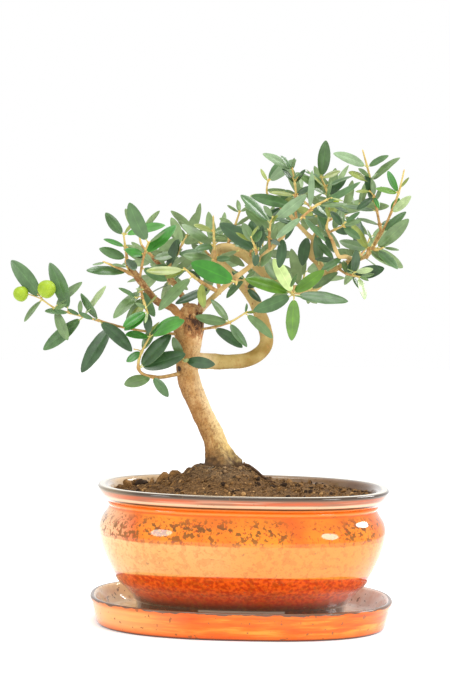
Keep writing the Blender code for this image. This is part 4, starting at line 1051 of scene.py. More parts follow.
def pot_glaze():
    """Banded glaze: a brown metallic lip, a mottled orange shoulder, a pale band and a deep orange foot,
    with painted shade on the body's lowest curve, a painted highlight at the left end of the shoulder,
    and a grey patch on the foot painted as the shade and reflection seen through a low arch that is not
    cut. Levels are shares of 0.1 m."""
    s = Shader("pot_glaze", (224, 176, 114), Roughness=0.10, Coat_Weight=0.9, Coat_Roughness=0.03,
               Specular_IOR_Level=0.1)
    level = s.ragged(s.between("Z", 0.0, 0.100), s.noise(60.0, 4.0), 0.012, -0.006)
    low_level = s.math("ADD", level, s.times(s.axis("X"), s.axis("X"), 4.5))
    s.over((215, 132, 49), s.between("X", -0.085, 0.010))
    s.over((222, 134, 44), s.spots(26.0, 3.0, 0.35, 0.70, 0.5))
    orange = s.mix(s.spots(35.0, 5.0, 0.35, 0.68, flat=0.5), (212, 92, 0), (228, 132, 16))
    s.over(orange, s.ramp(level, (0.577, 0.0), (0.583, 1.0)))
    foot = s.mix(s.spots(420.0, 4.0, 0.42, 0.60), (216, 84, 12), (176, 50, 2))
    s.over(foot, s.ramp(low_level, (0.378, 1.0), (0.386, 0.0)))
    # Painted shade: the body darkens to brown towards its lower edge, where it tucks in over the foot
    base = s.ramp(level, (0.150, (78, 44, 30)), (0.160, (84, 30, 6)), (0.190, (120, 34, 4)),
                  (0.235, (190, 52, 4)))
    s.over(base, s.ramp(level, (0.175, 1.0), (0.250, 0.0)))
    s.over(lip_glaze(s), s.ramp(level, (0.749, 0.0), (0.752, 1.0)))
    # Painted highlight: the shoulder pales to cream towards the pot's left end, as glare
    painted_glare_band = s.ramp(level, (0.56, 0.35), (0.62, 1.0), (0.74, 1.0), (0.755, 0.3))
    s.over((240, 216, 170), s.between("X", -0.066, -0.090), painted_glare_band, 0.7)
    shoulder = s.ramp(level, (0.570, 0.25), (0.600, 0.8), (0.680, 1.0), (0.730, 0.55), (0.752, 0.0))
    flecks = s.spots(270.0, 3.0, 0.530, 0.555, rough=0.6)
    s.over((116, 68, 2), flecks, s.spots(24.0, 2.0, 0.36, 0.50), shoulder)
    s.over((150, 52, 0), s.spots(620.0, 2.0, 0.60, 0.63, 0.8), shoulder)
    s.over((120, 84, 48), s.spots(300.0, 2.0, 0.70, 0.72, 0.5, flat=1.3))
    # Painted shade and reflection: a grey patch on the foot where a low arch would show the shaded tray floor
    s.over((150, 140, 130), s.between("X", -PAINTED_ARCH_HALF - 0.001, -PAINTED_ARCH_HALF),
           s.between("X", PAINTED_ARCH_HALF + 0.001, PAINTED_ARCH_HALF), s.between("Z", PAINTED_ARCH_TOP + 0.0005, PAINTED_ARCH_TOP))
    return s.done(130.0, 2.0, 0.00025, 0.3)


def tray_glaze():
    """Streaked orange glaze, paler to the left, worn brown along the rim and dark at the foot, partly its
    unglazed clay and partly painted shade where it meets the floor.
    """
    s = Shader("tray_glaze", Roughness=0.12, Coat_Weight=0.6, Coat_Roughness=0.04, Specular_IOR_Level=0.1)
    s.tone = s.ramp(s.noise(22.0, 5.0, flat=12.0, rough=0.6),
                    (0.34, (202, 74, 0)), (0.50, (212, 104, 8)), (0.62, (226, 144, 44)))
    s.over((222, 164, 100), s.between("X", -0.030, -0.095))
    height = s.between("Z", 0.0, TRAY_RIM_TOP)
    s.over((212, 84, 18), s.ramp(height, (0.10, 0.7), (0.30, 0.0), (0.78, 0.0), (0.90, 0.6)))
    s.over((130, 76, 34), s.spots(260.0, 3.0, 0.66, 0.68, 0.8))
    worn = s.ragged(s.between("Z", 0.0150, TRAY_RIM_TOP), s.noise(110.0, 4.0), 1.6, -0.85)
    s.over((92, 72, 56), s.ramp(worn, (0.52, 0.0), (0.62, 0.95)))
    # Dark at the foot: partly unglazed clay, partly painted shade where the tray meets the floor
    s.over((66, 44, 32), s.ramp(s.between("Z", 0.0, 0.0040), (0.20, 0.9), (0.40, 0.0)))
    return s.done(140.0, 2.0, 0.00030, 0.35)


def inner_glaze(name, left, right, stain):
    """The thin glaze inside, from one tone at the left to another, stained and with dark specks."""
    s = Shader(name, left, Roughness=0.14, Coat_Weight=0.9, Coat_Roughness=0.05, Specular_IOR_Level=0.1)
    s.over(right, s.between("X", -0.070, 0.075))
    s.over(stain, s.spots(120.0, 4.0, 0.46, 0.68, 0.45))
    s.over((96, 70, 48), s.spots(340.0, 3.0, 0.64, 0.67, 0.7))
    return s.done(140.0, 2.0, 0.00030, 0.35)


def earth(name, dark, light):
    """Crumbly soil, dusty grey on the mound."""
    s = Shader(name, dark, Roughness=0.95, Specular_IOR_Level=0.2)
    s.over(light, s.spots(900.0, 5.0, 0.32, 0.68))
    dusty = s.mix(s.spots(1300.0, 4.0, 0.36, 0.64), (70, 56, 42), (158, 140, 114))
    s.over(dusty, s.near((TRUNK[0][0], -0.006, SOIL_FOOT), 0.004, 0.024), 0.75)
    return s.done(2200.0, 3.0, 0.0004, 0.7)


def bough_tone(s):
    """The boughs' olive tone, with brown patches, and paler higher up."""
    olive = s.mix(s.spots(90.0, 4.0, 0.35, 0.65), (138, 110, 50), (176, 153, 95))
    olive = s.mix(s.spots(420.0, 4.0, 0.56, 0.70, 0.6), olive, (156, 106, 56))
    pale = s.times(s.between("Z", 0.175, 0.215), s.spots(70.0, 3.0, 0.35, 0.60, 1.0, 0.3), 0.7)
    return s.mix(pale, olive, (204, 176, 120))


def bark():
    """Tan bark with brown patches, with painted shade on its left side and a painted highlight on its right,
    speckled lower down and dark at the foot and at the old cut. The boughs are smoother and olive."""
    s = Shader("olive_bark", (186, 142, 84), Roughness=0.78, Specular_IOR_Level=0.3)
    s.over((220, 184, 128), s.spots(150.0, 4.0, 0.35, 0.65))
    s.over((172, 116, 60), s.spots(330.0, 5.0, 0.50, 0.62, 0.7, rough=0.7))
    # A share from 0 on the trunk's right side to 1 on its left, which places the painted shade and highlight
    lean = s.times(s.math("MINIMUM", s.axis("Z"), 0.152), 0.43)
    left = s.math("MULTIPLY_ADD", s.math("ADD", s.axis("X"), lean), -66.7, 2.5, clamp=True)
    # Painted shade over the left side, and a painted highlight on the right side
    s.over((160, 112, 58), left, 0.60)
    s.over((240, 218, 172), s.ramp(left, (0.0, 0.75), (0.45, 0.0)))
    s.over((196, 166, 84), s.between("Z", 0.140, 0.112), s.ramp(left, (0.0, 1.0), (0.6, 0.2)), 0.75)
    low = s.ramp(s.between("Z", 0.100, 0.190),
                 (0.0, 1.0), (0.35, 0.95), (0.60, 0.80), (0.85, 0.60), (1.0, 0.45))
    thick = s.times(low, s.math("MULTIPLY_ADD", left, 0.60, 0.40))
    s.over((152, 104, 56), s.spots(620.0, 6.0, 0.46, 0.54, 0.8, flat=0.75, rough=0.75), thick)
    specks = s.spots(860.0, 6.0, 0.52, 0.57, flat=0.75, rough=0.75)
    s.over((84, 54, 28), specks, s.spots(120.0, 3.0, 0.36, 0.56, 1.0, 0.35), thick)
    # Painted shade: darker brown on the left side of the trunk's middle
    s.over((134, 90, 40), s.between("Z", 0.165, 0.140), s.noise(60.0, 2.0), left, 0.9)
    s.over((172, 98, 52), s.near(RED_PATCH, 0.0030, 0.0110), s.spots(460.0, 5.0, 0.44, 0.56, 0.9, rough=0.7))
    bough = s.times(s.between("X", -0.0290, -0.0170), s.between("Z", 0.150, 0.158))
    s.over(bough_tone(s), s.math("MAXIMUM", bough, s.between("Z", 0.199, 0.208)))
    foot = s.ragged(s.between("Z", 0.100, 0.135), s.noise(260.0, 5.0), 0.7, -0.35)
    s.over((78, 56, 32), s.ramp(foot, (0.06, 1.0), (0.16, 0.75), (0.40, 0.0)))
    s.over((122, 80, 44), s.between("Z", 0.1975, 0.2030), s.between("X", -0.0250, -0.0300),
           s.spots(380.0, 5.0, 0.40, 0.55, 1.0, 0.35, rough=0.7))
    rot = s.ragged(s.near(CUT_STAIN, 0.0015, 0.0130), s.noise(300.0, 6.0, flat=0.55, rough=0.8), 3.4, -1.75)
    s.over((138, 92, 50), s.ramp(rot, (0.25, 0.0), (0.50, 0.9)))
    s.over((66, 42, 28), s.ramp(rot, (0.60, 0.0), (0.85, 1.0)))
    s.over((60, 44, 34), s.ramp(s.near(KNOT, 0.0008, 0.0026), (0.2, 0.0), (0.6, 1.0)))
    return s.done(600.0, 5.0, 0.0006, 0.6)


def young_bark(name, base, light, rough=0.7):
    s = Shader(name, base, Roughness=rough, Specular_IOR_Level=0.3)
    s.over(light, s.spots(420.0, 3.0, 0.35, 0.65))
    return s.done(1500.0, 3.0, 0.0003, 0.4)


def leaf_side(name, rgb, rough, coat):
    """One side of a leaf: a plain colour, a little uneven, with a waxy gloss."""
    s = Shader(name, rgb, Roughness=rough, Coat_Weight=coat, Coat_Roughness=0.28, Specular_IOR_Level=0.45)
    light = tuple(min(255, int(c * 1.14 + 8)) for c in rgb)
    s.over(light, s.spots(180.0, 2.0, 0.36, 0.66, 0.8))
    return s.done(1300.0, 2.0, 0.0002, 0.2)


def fruit_skin():
    s = Shader("green_fruit", (128, 154, 18), Roughness=0.50, Coat_Weight=0.08, Coat_Roughness=0.30,
               Specular_IOR_Level=0.35)
    s.over((150, 174, 34), s.spots(170.0, 2.0, 0.30, 0.70))
    return s.done()


def stepped(half, height, *steps):
    """A stretch of a profile, as steps out and up in millimetres from one corner."""
    return [(half + out / 1000, height + up / 1000) for out, up in steps]


def turned(name, profile, materials, slot, node, floor):
    """A pot or tray lofted through ovals, its surface a little uneven as hand glazing leaves it. The
    faces that look inwards, and the floor, have the second glaze."""
    skin = Skin()
    rings = []
    for half, z in profile:
        ring = oval(half, z)
        for point in ring:
            away = Vector((point.x, point.y, 0.0)).normalized()
            point += away * (GLAZE_WAVE * noise.noise(point * 60.0))
        rings.append(ring)
    skin.loft(rings)
    obj = skin.made(name, materials, slot, [node], 60)
    for face in obj.data.polygons:
        out = face.normal.x * face.center.x + face.normal.y * face.center.y
        inward = out < -0.3 * math.hypot(face.center.x, face.center.y)
        lowest = face.normal.z > 0.9 and face.center.z < floor + 0.002
        face.material_index = int(inward or lowest)


def make_pot():
    side = [(a.x, a.y) for a in smooth([(half, z, 0.0) for half, z in POT_SIDE], 5)]
    profile = (
        *stepped(POT_FOOT, POT_BASE, (-1, 0), (-0.2, 0.4), (0, 1), (1, 8), (1.8, 8.7)),
        *side[1:],
        *stepped(*POT_SIDE[-1], (0.4, 0.5), (0.9, 1.1), (1, 1.8), (0.6, 2.4), (0.1, 2.8)),
        *stepped(POT_RIM, POT_RIM_TOP, (-7, -10.1), (-5.9, -9.8), (-4.7, -9.1), (-3.5, -8), (-2.4, -6.7),
                 (-1.5, -5.4), (-0.7, -4), (-0.2, -2.6), (0, -1.5), (-0.1, -0.8), (-0.6, -0.3), (-1.8, 0),
                 (-4, 0), (-6.2, -0.3), (-7.9, -1.1)),
        (POT_RIM - POT_LIP, POT_RIM_TOP - POT_LIP_DEPTH),
        *((pot_inside(z), z) for z in (0.0800, *POT_INSIDE_HEIGHTS)),
        (POT_FLOOR_HALF, POT_FLOOR),
    )
    inner = inner_glaze("pot_inside", (186, 156, 118), (116, 88, 64), (96, 62, 38))
    turned("pot_body", profile, [pot_glaze(), inner], "pot_glaze", "pot", POT_FLOOR)


def make_tray():
    profile = (
        *stepped(TRAY_BASE, 0.0, (-3, 0), (-1.2, 0), (-0.3, 0.4), (0, 1), (0.6, 3), (1.6, 6), (3, 11)),
        *stepped(TRAY_RIM, TRAY_RIM_TOP, (-0.6, -2.8), (-0.1, -1.8), (0, -1), (-0.4, -0.3), (-1.2, 0),
                 (-2.6, -0.1), (-3.6, -0.7)),
        *stepped(TRAY_RIM - TRAY_WALL, TRAY_RIM_TOP, (0, -1.6), (-2, -5.6)),
        *stepped(TRAY_BASE - TRAY_WALL, TRAY_FLOOR, (0, 1.2), (-1, 0.4), (-2.5, 0), (-12, 0)),
    )
    inner = inner_glaze("tray_inside", (255, 236, 184), (236, 228, 214), (206, 146, 84))
    turned("drip_tray_body", profile, [tray_glaze(), inner], "tray_glaze", "drip_tray", TRAY_FLOOR)


def on_soil(x, y, lift=0.0):
    """The point on the soil at a place, with the soil's crumbs and hollows, or `lift` above it."""
    half = pot_inside(SOIL_EDGE)
    out = math.hypot(x / half, y / (half - OVAL_DIFFERENCE))
    place = Vector((x, y, 0.0))
    lumps = 0.0013 * noise.fractal(place * 110.0, 0.9, 2.1, 4) + 0.0007 * noise.noise(place * 420.0)
    rough = soil_height(x, y) + lumps * min(1.0, max(0.0, (1.02 - out) * 12))
    return Vector((x, y, rough + lift))


def crumb(skin, rng, centre, size, kind, fine=False):
    """One irregular lump."""
    mesh = bmesh.new()
    bmesh.ops.create_icosphere(mesh, subdivisions=2 if fine else 1, radius=1.0)
    turn = Matrix.Rotation(rng.uniform(0, 6.28), 3, Vector((rng.random(), rng.random(), 0.3)).normalized())
    stretch = Vector((rng.uniform(0.8, 1.35), rng.uniform(0.7, 1.1), rng.uniform(0.55, 0.9)))
    seed = Vector((rng.uniform(0, 50), rng.uniform(0, 50), rng.uniform(0, 50)))
    points = []
    for vertex in mesh.verts:
        lump = 1 + (0.25 if fine else 0.45) * noise.noise(vertex.co * 1.6 + seed)
        lump += 0.18 * noise.noise(vertex.co * 4.0 + seed)
        local = Vector(tuple(a * b for a, b in zip(vertex.co * lump, stretch)))
        points.append(centre + size * (turn @ local))
    mesh.verts.index_update()
    faces = [[v.index for v in face.verts] for face in mesh.faces]
    mesh.free()
    skin.add(points, faces, kind)


def soil_place(rng, edge=0.97):
    """A random place on the soil, within a share of its width."""
    half = pot_inside(SOIL_EDGE)
    while True:
        x = rng.uniform(-half, half)
        y = rng.uniform(-half + OVAL_DIFFERENCE, half - OVAL_DIFFERENCE)
        out = (abs(x) / half) ** OVAL_POWER + (abs(y) / (half - OVAL_DIFFERENCE)) ** OVAL_POWER
        if out < edge:
            return x, y


def make_soil():
    """The soil's body with its crumbs and clods, and the fibres on it."""
    rng = random.Random(SOIL_SEED)
    skin = Skin()
    rings = [oval(POT_FLOOR_HALF - 2 * GAP, POT_FLOOR + GAP)]
    rings += [oval(pot_inside(z) - GAP, z) for z in reversed(POT_INSIDE_HEIGHTS)]
    edge = pot_inside(SOIL_EDGE) - 2 * GAP
    rings.append(oval(edge, SOIL_EDGE - 0.0010))
    for k in range(SOIL_RINGS):
        share = (1 - k / SOIL_RINGS) ** 0.9
        ring = outline(edge * share, (edge - OVAL_DIFFERENCE) * share, TRUNK[0][0] * (1 - share))
        rings.append([on_soil(x, y) for x, y in ring])
    skin.loft(rings)
    shares = [share for *_, share in SOIL_TONES.values()]
    for _ in range(CRUMBS):
        x, y = soil_place(rng)
        size = 0.00035 + 0.0016 * rng.random() ** 4
        crumb(skin, rng, on_soil(x, y, size * 0.25), size, rng.choices(range(len(shares)), shares)[0])
    for *place, kind in CLODS:
        x, y, size = (c / 1000 for c in place)
        crumb(skin, rng, on_soil(x, y, size * 0.30), size, kind, fine=True)
    earths = [earth(name, dark, light) for name, (dark, light, _) in SOIL_TONES.items()]
    skin.made("soil_body", earths, "soil", ["soil"], 40)
    make_fibres(rng)


def make_fibres(rng):
    """Dry fibres, spread over the soil and gathered on the mound, and the one root that shows there."""
    skin = Skin()
    for k in range(FIBRES):
        if k < SPREAD_FIBRES:
            x, y = soil_place(rng, 0.90)
        else:
            x, y = rng.gauss(TRUNK[0][0], 0.011), rng.gauss(-0.004, 0.010)
        length = rng.uniform(0.002, 0.008)
        turn = rng.uniform(0, 2 * math.pi)
        line = []
        for _ in range(5):
            turn += rng.uniform(-0.5, 0.5)
            line.append(on_soil(x, y, 0.0002 + rng.uniform(0, 0.0009)))
            x += math.cos(turn) * length / 4
            y += math.sin(turn) * length / 4
        radius = rng.uniform(0.00006, 0.00015)
        line = smooth(line, 2)
        skin.tube(line, tapering(line, (radius, radius * 0.6)), 4, rng.choices((0, 1), (0.6, 0.4))[0])
    root = smooth([on_soil(*place) for place in SURFACE_ROOT], 5)
    skin.tube(root, tapering(root, (0.0011, 0.0009, 0.0004)), 8, 1)
    tones = [young_bark("dry_fibre", (128, 96, 58), (168, 132, 84)),
             young_bark("dark_fibre", (60, 42, 24), (96, 66, 40))]
    skin.made("soil_fibres", tones, "soil")


def bark_tubes():
    """The rings of trunk, low bough and boughs, which the bark is made round."""
    line = smooth([row[:3] for row in TRUNK], 6)
    radii = [blend([row[3] for row in TRUNK], k / (len(line) - 1)) for k in range(len(line))]
    rings = tube_rings(line, radii, 48)
    base = line[0].z
    for point, ring in zip(line, rings):
        flare = max(0.0, 1 - (point.z - base) / ROOT_LOBE_HEIGHT)
        for vertex in ring:
            out = vertex - point
            lobe = math.cos(ROOT_LOBES * math.atan2(out.y, out.x) + 0.6)
            vertex += out * (ROOT_LOBE_DEPTH * flare * lobe)
    for vertex in rings[0]:
        vertex.z = base
    yield rings
    course = smooth(SWEEP, 6)
    yield tube_rings(course, tapering(course, SWEEP_RADII), 32)
    for limb in LIMBS:
        line = smooth(limb.points, 10)
        radii = tapering(line, limb.radii)
        line[0] = line[0] - (line[1] - line[0]).normalized() * 0.001
        yield tube_rings(line, radii, 20)


def make_bark(nodes):
    """One skin over trunk and boughs, run together where they join, with its relief pushed in and out."""
    skin = Skin()
    for rings in bark_tubes():
        skin.loft(rings)
    obj = bpy.data.objects.new("bark", skin.mesh("bark", []))
    bpy.context.scene.collection.objects.link(obj)
    remesh = obj.modifiers.new("skin", "REMESH")
    remesh.mode = "VOXEL"
    remesh.voxel_size = BARK_VOXEL
    ease = obj.modifiers.new("ease", "SMOOTH")
    ease.factor = 0.5
    ease.iterations = 6
    bpy.context.view_layer.update()
    done = bpy.data.meshes.new_from_object(obj.evaluated_get(bpy.context.evaluated_depsgraph_get()))
    obj.modifiers.clear()
    obj.data = done
    relief(done)
    done.materials.clear()
    done.materials.append(bark())
    done.shade_smooth()
    bpy.context.scene.collection.objects.unlink(obj)
    placed(obj, nodes)


def bark_push(p):
    """How far the bark stands out at a point, from its lumps and pits and from the ragged old cut."""
    if p.z < SOIL_FOOT + 0.0015:
        return 0.0
    low = min(max((0.200 - p.z) / 0.10, 0.0), 1.0)
    trunk = 1.0 if p.x < -0.004 and p.z < 0.200 else 0.35
    push = 0.00045 * noise.noise(p * 130.0) * trunk
    push += 0.00022 * (0.4 + low) * noise.noise(p * 480.0) * trunk
    push += 0.00009 * noise.noise(p * 1400.0) * (0.5 + low)
    near_cut = max(0.0, 1 - (p - OLD_CUT).length / OLD_CUT_REACH)
    push -= near_cut * (0.0006 + 0.0034 * noise.noise(Vector((p.x, p.y, p.z * 0.5)) * 420.0))
    knot = max(0.0, min(1.0, (p.z - 0.180) / 0.010)) * trunk
    return push + knot * 0.0007 * noise.noise(p * 300.0)


def relief(data):
    """Moves each point of the bark's mesh in or out."""
    count = len(data.vertices)
    points = np.empty(count * 3, np.float32)
    normals = np.empty(count * 3, np.float32)
    data.vertices.foreach_get("co", points)
    data.vertices.foreach_get("normal", normals)
    points = points.reshape(-1, 3)
    normals = normals.reshape(-1, 3)
    for i in range(count):
        points[i] += normals[i] * bark_push(Vector(points[i]))
    data.vertices.foreach_set("co", points.ravel())
    data.update()


def tint_of(mass, angle, rng):
    """The tint that shows in the photograph, or else one drawn by the usual shares."""
    drawn = rng.choices(list(TINT_SHARES), TINT_SHARES.values())[0]
    for tint, angles in TINTS.get(mass.name, {}).items():
        if angle in angles:
            return tint
    return drawn


def blade_half(leaf, u):
    """Half the blade's width at a share of the blade's length."""
    return leaf.width * 0.45 * max(0.0, math.sin(math.pi * min(1.0, u) ** 0.96)) ** (0.50 + 0.10 * u)


def leaf_mesh(skin, petioles, leaf, rng):
    """A leaf with its midrib, its two sides and a thin edge, and its petiole."""
    side = leaf.along.cross(leaf.face)
    fold = rng.uniform(0.02, 0.20)
    curl = rng.uniform(0.02, 0.16)
    twist = rng.uniform(-0.30, 0.30)
    bow = rng.uniform(-0.035, 0.035)
    wave, phase = rng.uniform(0.0, 0.05), rng.uniform(0, 6.28)
    start = PETIOLE_SHARE * 0.85

    def centre_at(share):
        bend = leaf.droop * share**2 * leaf.length
        sway = bow * math.sin(math.pi * share) * leaf.length
        return leaf.root + leaf.along * (leaf.length * share) - leaf.face * bend + side * sway

    rings = []
    for u in BLADE_ALONG:
        centre = centre_at(start + (1 - start) * u)
        half = max(blade_half(leaf, u), NARROWEST_ROOT if u < 0.5 else NARROWEST_TIP)
        turn = Matrix.Rotation(twist * (u - 0.4), 3, leaf.along)
        out, face = turn @ side, turn @ leaf.face
        thick = BLADE_THICKNESS / 2 * (1.0 if u < 0.95 else 0.5)
        top, under = [], []
        for s in BLADE_ACROSS:
            lift = half * (fold * abs(s) - curl * s * s + wave * math.sin(phase + 16 * u + s) * abs(s) ** 3)
            middle = centre + out * (half * s) + face * lift
            rib = abs(s) < 0.1
            thin = thick * (0.55 if abs(s) > 0.9 else 1.0)
            top.append(middle + face * (thin - (MIDRIB_GROOVE if rib and 0.05 < u < 0.9 else 0.0)))
            under.append(middle - face * (thin + (MIDRIB_DEPTH * (1 - u) if rib else 0.0)))
        rings.append(top + under[::-1])
    width = len(BLADE_ACROSS)
    kinds = [0] * (width - 1) + [1] * (width + 1)
    kinds[width // 2 - 1] = 2
    skin.loft(rings, kinds)
    stalk = [centre_at(share) for share in (0.0, start * 0.5, start * 1.25)]
    petioles.tube(stalk, (PETIOLE_RADIUS * 1.5, PETIOLE_RADIUS, PETIOLE_RADIUS * 0.8), 6)


def inside_box(box, point):
    return all(a - BOX_SLACK <= p <= b + BOX_SLACK for a, p, b in zip(box[0], point, box[1]))


def finer(tree, mass, growth, rng):
    """Shoots, young leaves and buds that carry the mass on, within the room that its solid has."""
    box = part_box(mass.node)
    young = []
    buds = []
    shoots = []

    def add_young(root, along, length):
        for _ in range(YOUNG_TRIES):
            tilt = Vector((rng.uniform(-0.3, 0.3), rng.uniform(-0.3, 0.3), rng.uniform(-0.2, 0.3)))
            width = length * rng.uniform(0.24, 0.36)
            leaf = make_leaf(rng, root, along, (along + tilt).normalized(), length, width, LEAF_SWING)
            leaf.droop *= 0.5
            if inside_box(box, root + leaf.along * length) and leaf_fits(tree, mass.name, leaf):
                young.append(leaf)
                for _, point in leaf_balls(leaf):
                    tree.take(mass.name, point, LEAF_BALL)
                return

    for twig in (growth.twigs[0], *growth.twigs[1 + len(growth.fruits):]):
        tip, along = twig.points[-1], tangents(twig.points)[-1]
        buds.append((tip, along))
        for lean in (-1, 1):
            out = across(along, Vector((lean, rng.uniform(-0.8, 0.8), rng.uniform(-0.2, 0.6))))
            ahead = (along * 1.3 + out).normalized()
            add_young(tip - along * 0.0005, ahead, mass.leaf * rng.uniform(0.30, 0.48))
    for leaf in growth.leaves:
        lot = rng.random()
        if lot < BUD_SHARE:
            axil = leaf.root + leaf.along * 0.0012 + leaf.face * 0.0004
            buds.append((axil, (leaf.along + leaf.face * 0.4).normalized()))
        elif lot < BUD_SHARE + SHOOT_SHARE:
            start = (leaf.along * 0.5 + leaf.face * 0.8 + UP * 0.3).normalized()
            end = leaf.root + start * rng.uniform(0.003, 0.007)
            if not inside_box(box, end) or not twig_fits(tree, mass.name, [leaf.root, end]):
                continue
            shoots.append([leaf.root, leaf.root.lerp(end, 0.5) + UP * 0.0003, end])
            tree.take(mass.name, end, TWIG_BALL)
            buds.append((end, start))
            for lean in (-1, 1):
                out = across(start, Vector((lean, rng.uniform(-1, 1), 0.2)))
                add_young(end, (start + out).normalized(), mass.leaf * rng.uniform(0.30, 0.52))
    clear = [leaf for leaf in young if not any(hides(leaf, centre) for centre, _ in growth.fruits)]
    return clear, shoots, buds


def hides(leaf, centre):
    """Whether a young leaf would hang in front of a fruit."""
    middle = leaf.root + leaf.along * (leaf.length / 2)
    return math.hypot(middle.x - centre.x, middle.z - centre.z) < 0.011 and middle.y < centre.y + 0.004


def twig_tube(skin, twig, leaves, main, rng):
    """A twig with a slight joint at each pair of leaves, brown where it is old and green-tan at its end."""
    line = smooth(twig.points, 3)
    start = twig.radii[0] * (0.95 if main else 0.62)
    end = 0.00052 if main else 0.00040
    radii = tapering(line, (start, start * 0.78, (start + end) / 2, end))
    joints = [leaf.root for leaf in leaves if min((leaf.root - p).length for p in line) < 0.0012]
    for k, point in enumerate(line):
        nearest = min(((j - point).length for j in joints), default=1.0)
        radii[k] *= 1 + 0.35 * math.exp(-((nearest / 0.0011) ** 2)) + rng.uniform(-0.05, 0.05)
    if main:
        split = int(len(line) * OLD_SHARE)
        first = line[0] - (line[1] - line[0]).normalized() * 0.0015
        skin.tube([first, *line[:split + 1]], [radii[0], *radii[:split + 1]], 8, 0)
        skin.tube(line[split:], radii[split:], 8, 1)
    else:
        skin.tube(line, radii, 7, 1)


def bud(skin, place, along, size):
    """A small pointed bud."""
    side = across(along)
    other = along.cross(side)
    rings = []
    for t, r in ((-0.3, 0.35), (0.1, 0.50), (0.6, 0.48), (1.1, 0.28), (1.5, 0.05)):
        rings.append([place + along * (t * size) + (side * math.cos(a) + other * math.sin(a)) * (r * size)
                      for a in (2 * math.pi * i / 6 for i in range(6))])
    skin.loft(rings)


def fruit(skin, centre, radius, rng):
    """A slightly pointed green olive with a dark spot at its lower end."""
    mesh = bmesh.new()
    bmesh.ops.create_uvsphere(mesh, u_segments=72, v_segments=48, radius=1.0)
    axis = Vector((rng.uniform(-0.3, 0.3), rng.uniform(-0.2, 0.2), 1.0)).normalized()
    turn = axis.to_track_quat("Z", "Y").to_matrix()
    points = []
    for vertex in mesh.verts:
        x, y, z = vertex.co
        pinch = 1 + 0.07 * max(0.0, -z) ** 5 - 0.05 * max(0.0, z) ** 6
        points.append(centre + turn @ Vector((x * radius, y * radius, z * radius * pinch)))
    mesh.verts.index_update()
    kinds = [int(all(v.co.z < -0.988 for v in face.verts)) for face in mesh.faces]
    skin.add(points, [[v.index for v in face.verts] for face in mesh.faces], kinds)
    mesh.free()


def seen_at(pixel, depth):
    """The point that shows at a pixel of the photograph, at a distance behind the part's middle."""
    turn, start = camera_pose()
    focal = CAMERA_LENS / CAMERA_SENSOR * PHOTO_HEIGHT
    ray = turn @ Vector(((pixel[0] - PHOTO_WIDTH / 2) / focal, (PHOTO_HEIGHT / 2 - pixel[1]) / focal, -1.0))
    return start + ray * ((depth - start.y) / ray.y)


def bough_leaves(rng):
    """The leaves that stand on the boughs themselves, each with its tint."""
    rows = []
    middle_lean = math.radians(sum(BOUGH_LEAF_LEAN) / 2)
    for pixel, tip_pixel, depth, share, tint in PHOTO_LEAVES:
        root, tip = seen_at(pixel, depth), seen_at(tip_pixel, depth)
        angle = round(math.degrees(math.atan2(tip.z - root.z, tip.x - root.x)))
        length = math.hypot(tip.x - root.x, tip.z - root.z) / math.cos(middle_lean)
        rows.append((root, angle, length, share, tint))
    for root, angle, length, share, tint in (*rows, *BOUGH_LEAVES):
        along = heading(math.radians(angle), math.radians(rng.uniform(*BOUGH_LEAF_LEAN)))
        yield tint, make_leaf(rng, Vector(root), UP, along, length, length * share, 16)


def make_crown(tree):
    """Twigs, leaves, buds and fruit of all masses, joined by kind."""
    rng = random.Random(CROWN_SEED)
    nodes = [mass.node for mass in MASSES]
    growths = [grow(tree, mass) for mass in MASSES]
    blades = {tint: Skin() for tint in UPPERS}
    petioles, twigs, buds, fruits = Skin(), Skin(), Skin(), Skin()
    for mass, growth in zip(MASSES, growths):
        for leaf, angle in zip(growth.leaves, growth.angles):
            leaf_mesh(blades[tint_of(mass, angle, rng)], petioles, leaf, rng)
        for twig in growth.twigs:
            twig_tube(twigs, twig, growth.leaves, twig is growth.twigs[0], rng)
        young, shoots, points = finer(tree, mass, growth, rng)
        for leaf in young:
            tint = rng.choices(("grey", "olive", "green", "pale"), (4, 3, 3, 1))[0]
            leaf_mesh(blades[tint], petioles, leaf, rng)
        for line in shoots:
            line = smooth(line, 3)
            twigs.tube(line, tapering(line, (0.00045, 0.00032)), 6, 1)
        for place, along in points:
            bud(buds, place, along, rng.uniform(0.0006, 0.0010))
        for centre, radius in growth.fruits:
            fruit(fruits, centre, radius, rng)
    for tint, leaf in bough_leaves(rng):
        leaf_mesh(blades[tint], petioles, leaf, rng)
    under = leaf_side("leaf_under", (112, 134, 88), 0.62, 0.0)
    for tint, skin in blades.items():
        rib = leaf_side("midrib_" + tint, tuple(int(c * 1.07 + 9) for c in UPPERS[tint]), 0.5, 0.1)
        upper = leaf_side("leaf_" + tint, UPPERS[tint], 0.38, 0.34)
        skin.made("leaves_" + tint, [upper, under, rib], "foliage", nodes)
    stalk = young_bark("petiole_green", (176, 178, 96), (206, 200, 128), 0.5)
    petioles.made("petioles", [stalk], "foliage", nodes)
    old = young_bark("twig_bark", (150, 112, 62), (190, 154, 98))
    new = young_bark("shoot_bark", (174, 148, 78), (202, 180, 112), 0.55)
    twigs.made("twigs", [old, new], "bark", nodes)
    buds.made("buds", [young_bark("bud_tan", (190, 150, 74), (216, 184, 110), 0.6)], "foliage", nodes)
    end = young_bark("fruit_end", (70, 60, 30), (96, 84, 44))
    fruits.made("green_fruits", [fruit_skin(), end], "foliage", nodes)


def camera_pose():
    """The camera's axes, as columns, and its place."""
    sin_pitch, cos_pitch = math.sin(CAMERA_PITCH), math.cos(CAMERA_PITCH)
    backward = Vector((0.0, -cos_pitch, sin_pitch))
    upward = Vector((0.0, sin_pitch, cos_pitch))
    turn = Matrix(((1.0, 0.0, 0.0), upward, backward)).transposed() @ Matrix.Rotation(CAMERA_ROLL, 3, "Z")
    return turn, CAMERA_AIM + backward * CAMERA_DISTANCE


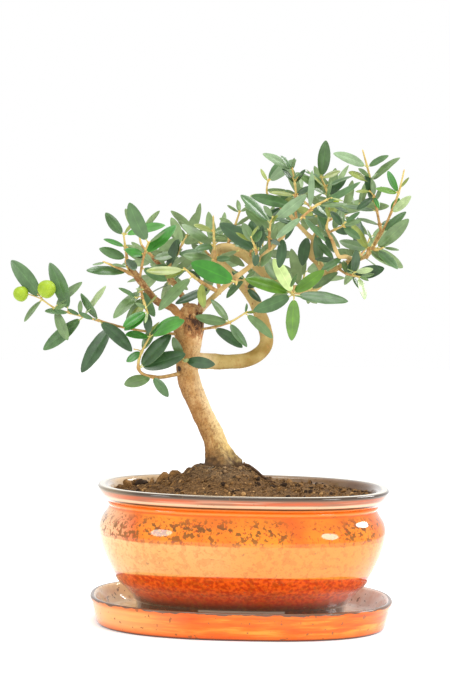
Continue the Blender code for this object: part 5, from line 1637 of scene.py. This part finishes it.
def make_lights():
    """White surroundings and the soft boxes."""
    world = bpy.data.worlds.new("white_studio")
    world.use_nodes = True
    back = world.node_tree.nodes["Background"]
    back.inputs["Color"].default_value = (1.0, 1.0, 1.0, 1.0)
    back.inputs["Strength"].default_value = 1.0
    bpy.context.scene.world = world
    for name, place, target_height, width, height, power in SOFT_BOXES:
        light = bpy.data.lights.new(name, "AREA")
        light.shape = "ELLIPSE"
        light.size = width
        light.size_y = height
        light.energy = power
        obj = bpy.data.objects.new(name, light)
        obj.location = place
        obj.rotation_mode = "QUATERNION"
        obj.rotation_quaternion = (Vector((0.0, 0.0, target_height)) - Vector(place)).to_track_quat("-Z", "Y")
        bpy.context.scene.collection.objects.link(obj)


def make_floor():
    """A white paper floor."""
    skin = Skin()
    corners = ((-1, -1), (1, -1), (1, 1), (-1, 1))
    skin.add([Vector((x * FLOOR_HALF, y * FLOOR_HALF, 0.0)) for x, y in corners], [(0, 1, 2, 3)], 0)
    paper = Shader("floor_paper", Roughness=0.9, Specular_IOR_Level=0.1)
    paper.base.inputs["Base Color"].default_value = FLOOR_COLOUR
    paper.base.inputs["Emission Color"].default_value = (1.0, 1.0, 1.0, 1.0)
    paper.base.inputs["Emission Strength"].default_value = FLOOR_GLOW
    floor = bpy.data.objects.new("floor", skin.mesh("floor", [paper.material]))
    bpy.context.scene.collection.objects.link(floor)


def make_camera():
    scene = bpy.context.scene
    camera = bpy.data.cameras.new("camera")
    camera.lens = CAMERA_LENS
    camera.sensor_width = CAMERA_SENSOR
    camera.clip_start, camera.clip_end = CAMERA_CLIP
    obj = bpy.data.objects.new("camera", camera)
    turn, obj.location = camera_pose()
    obj.rotation_mode = "QUATERNION"
    obj.rotation_quaternion = turn.to_quaternion()
    scene.collection.objects.link(obj)
    scene.camera = obj
    scene.view_settings.view_transform = "Standard"
    scene.view_settings.look = "None"


def main():
    make_lights()
    make_floor()
    make_camera()
    make_pot()
    make_tray()
    make_soil()
    tree = Tree()
    make_bark(["trunk", *(limb.name for limb in tree.limbs)])
    make_crown(tree)


main()
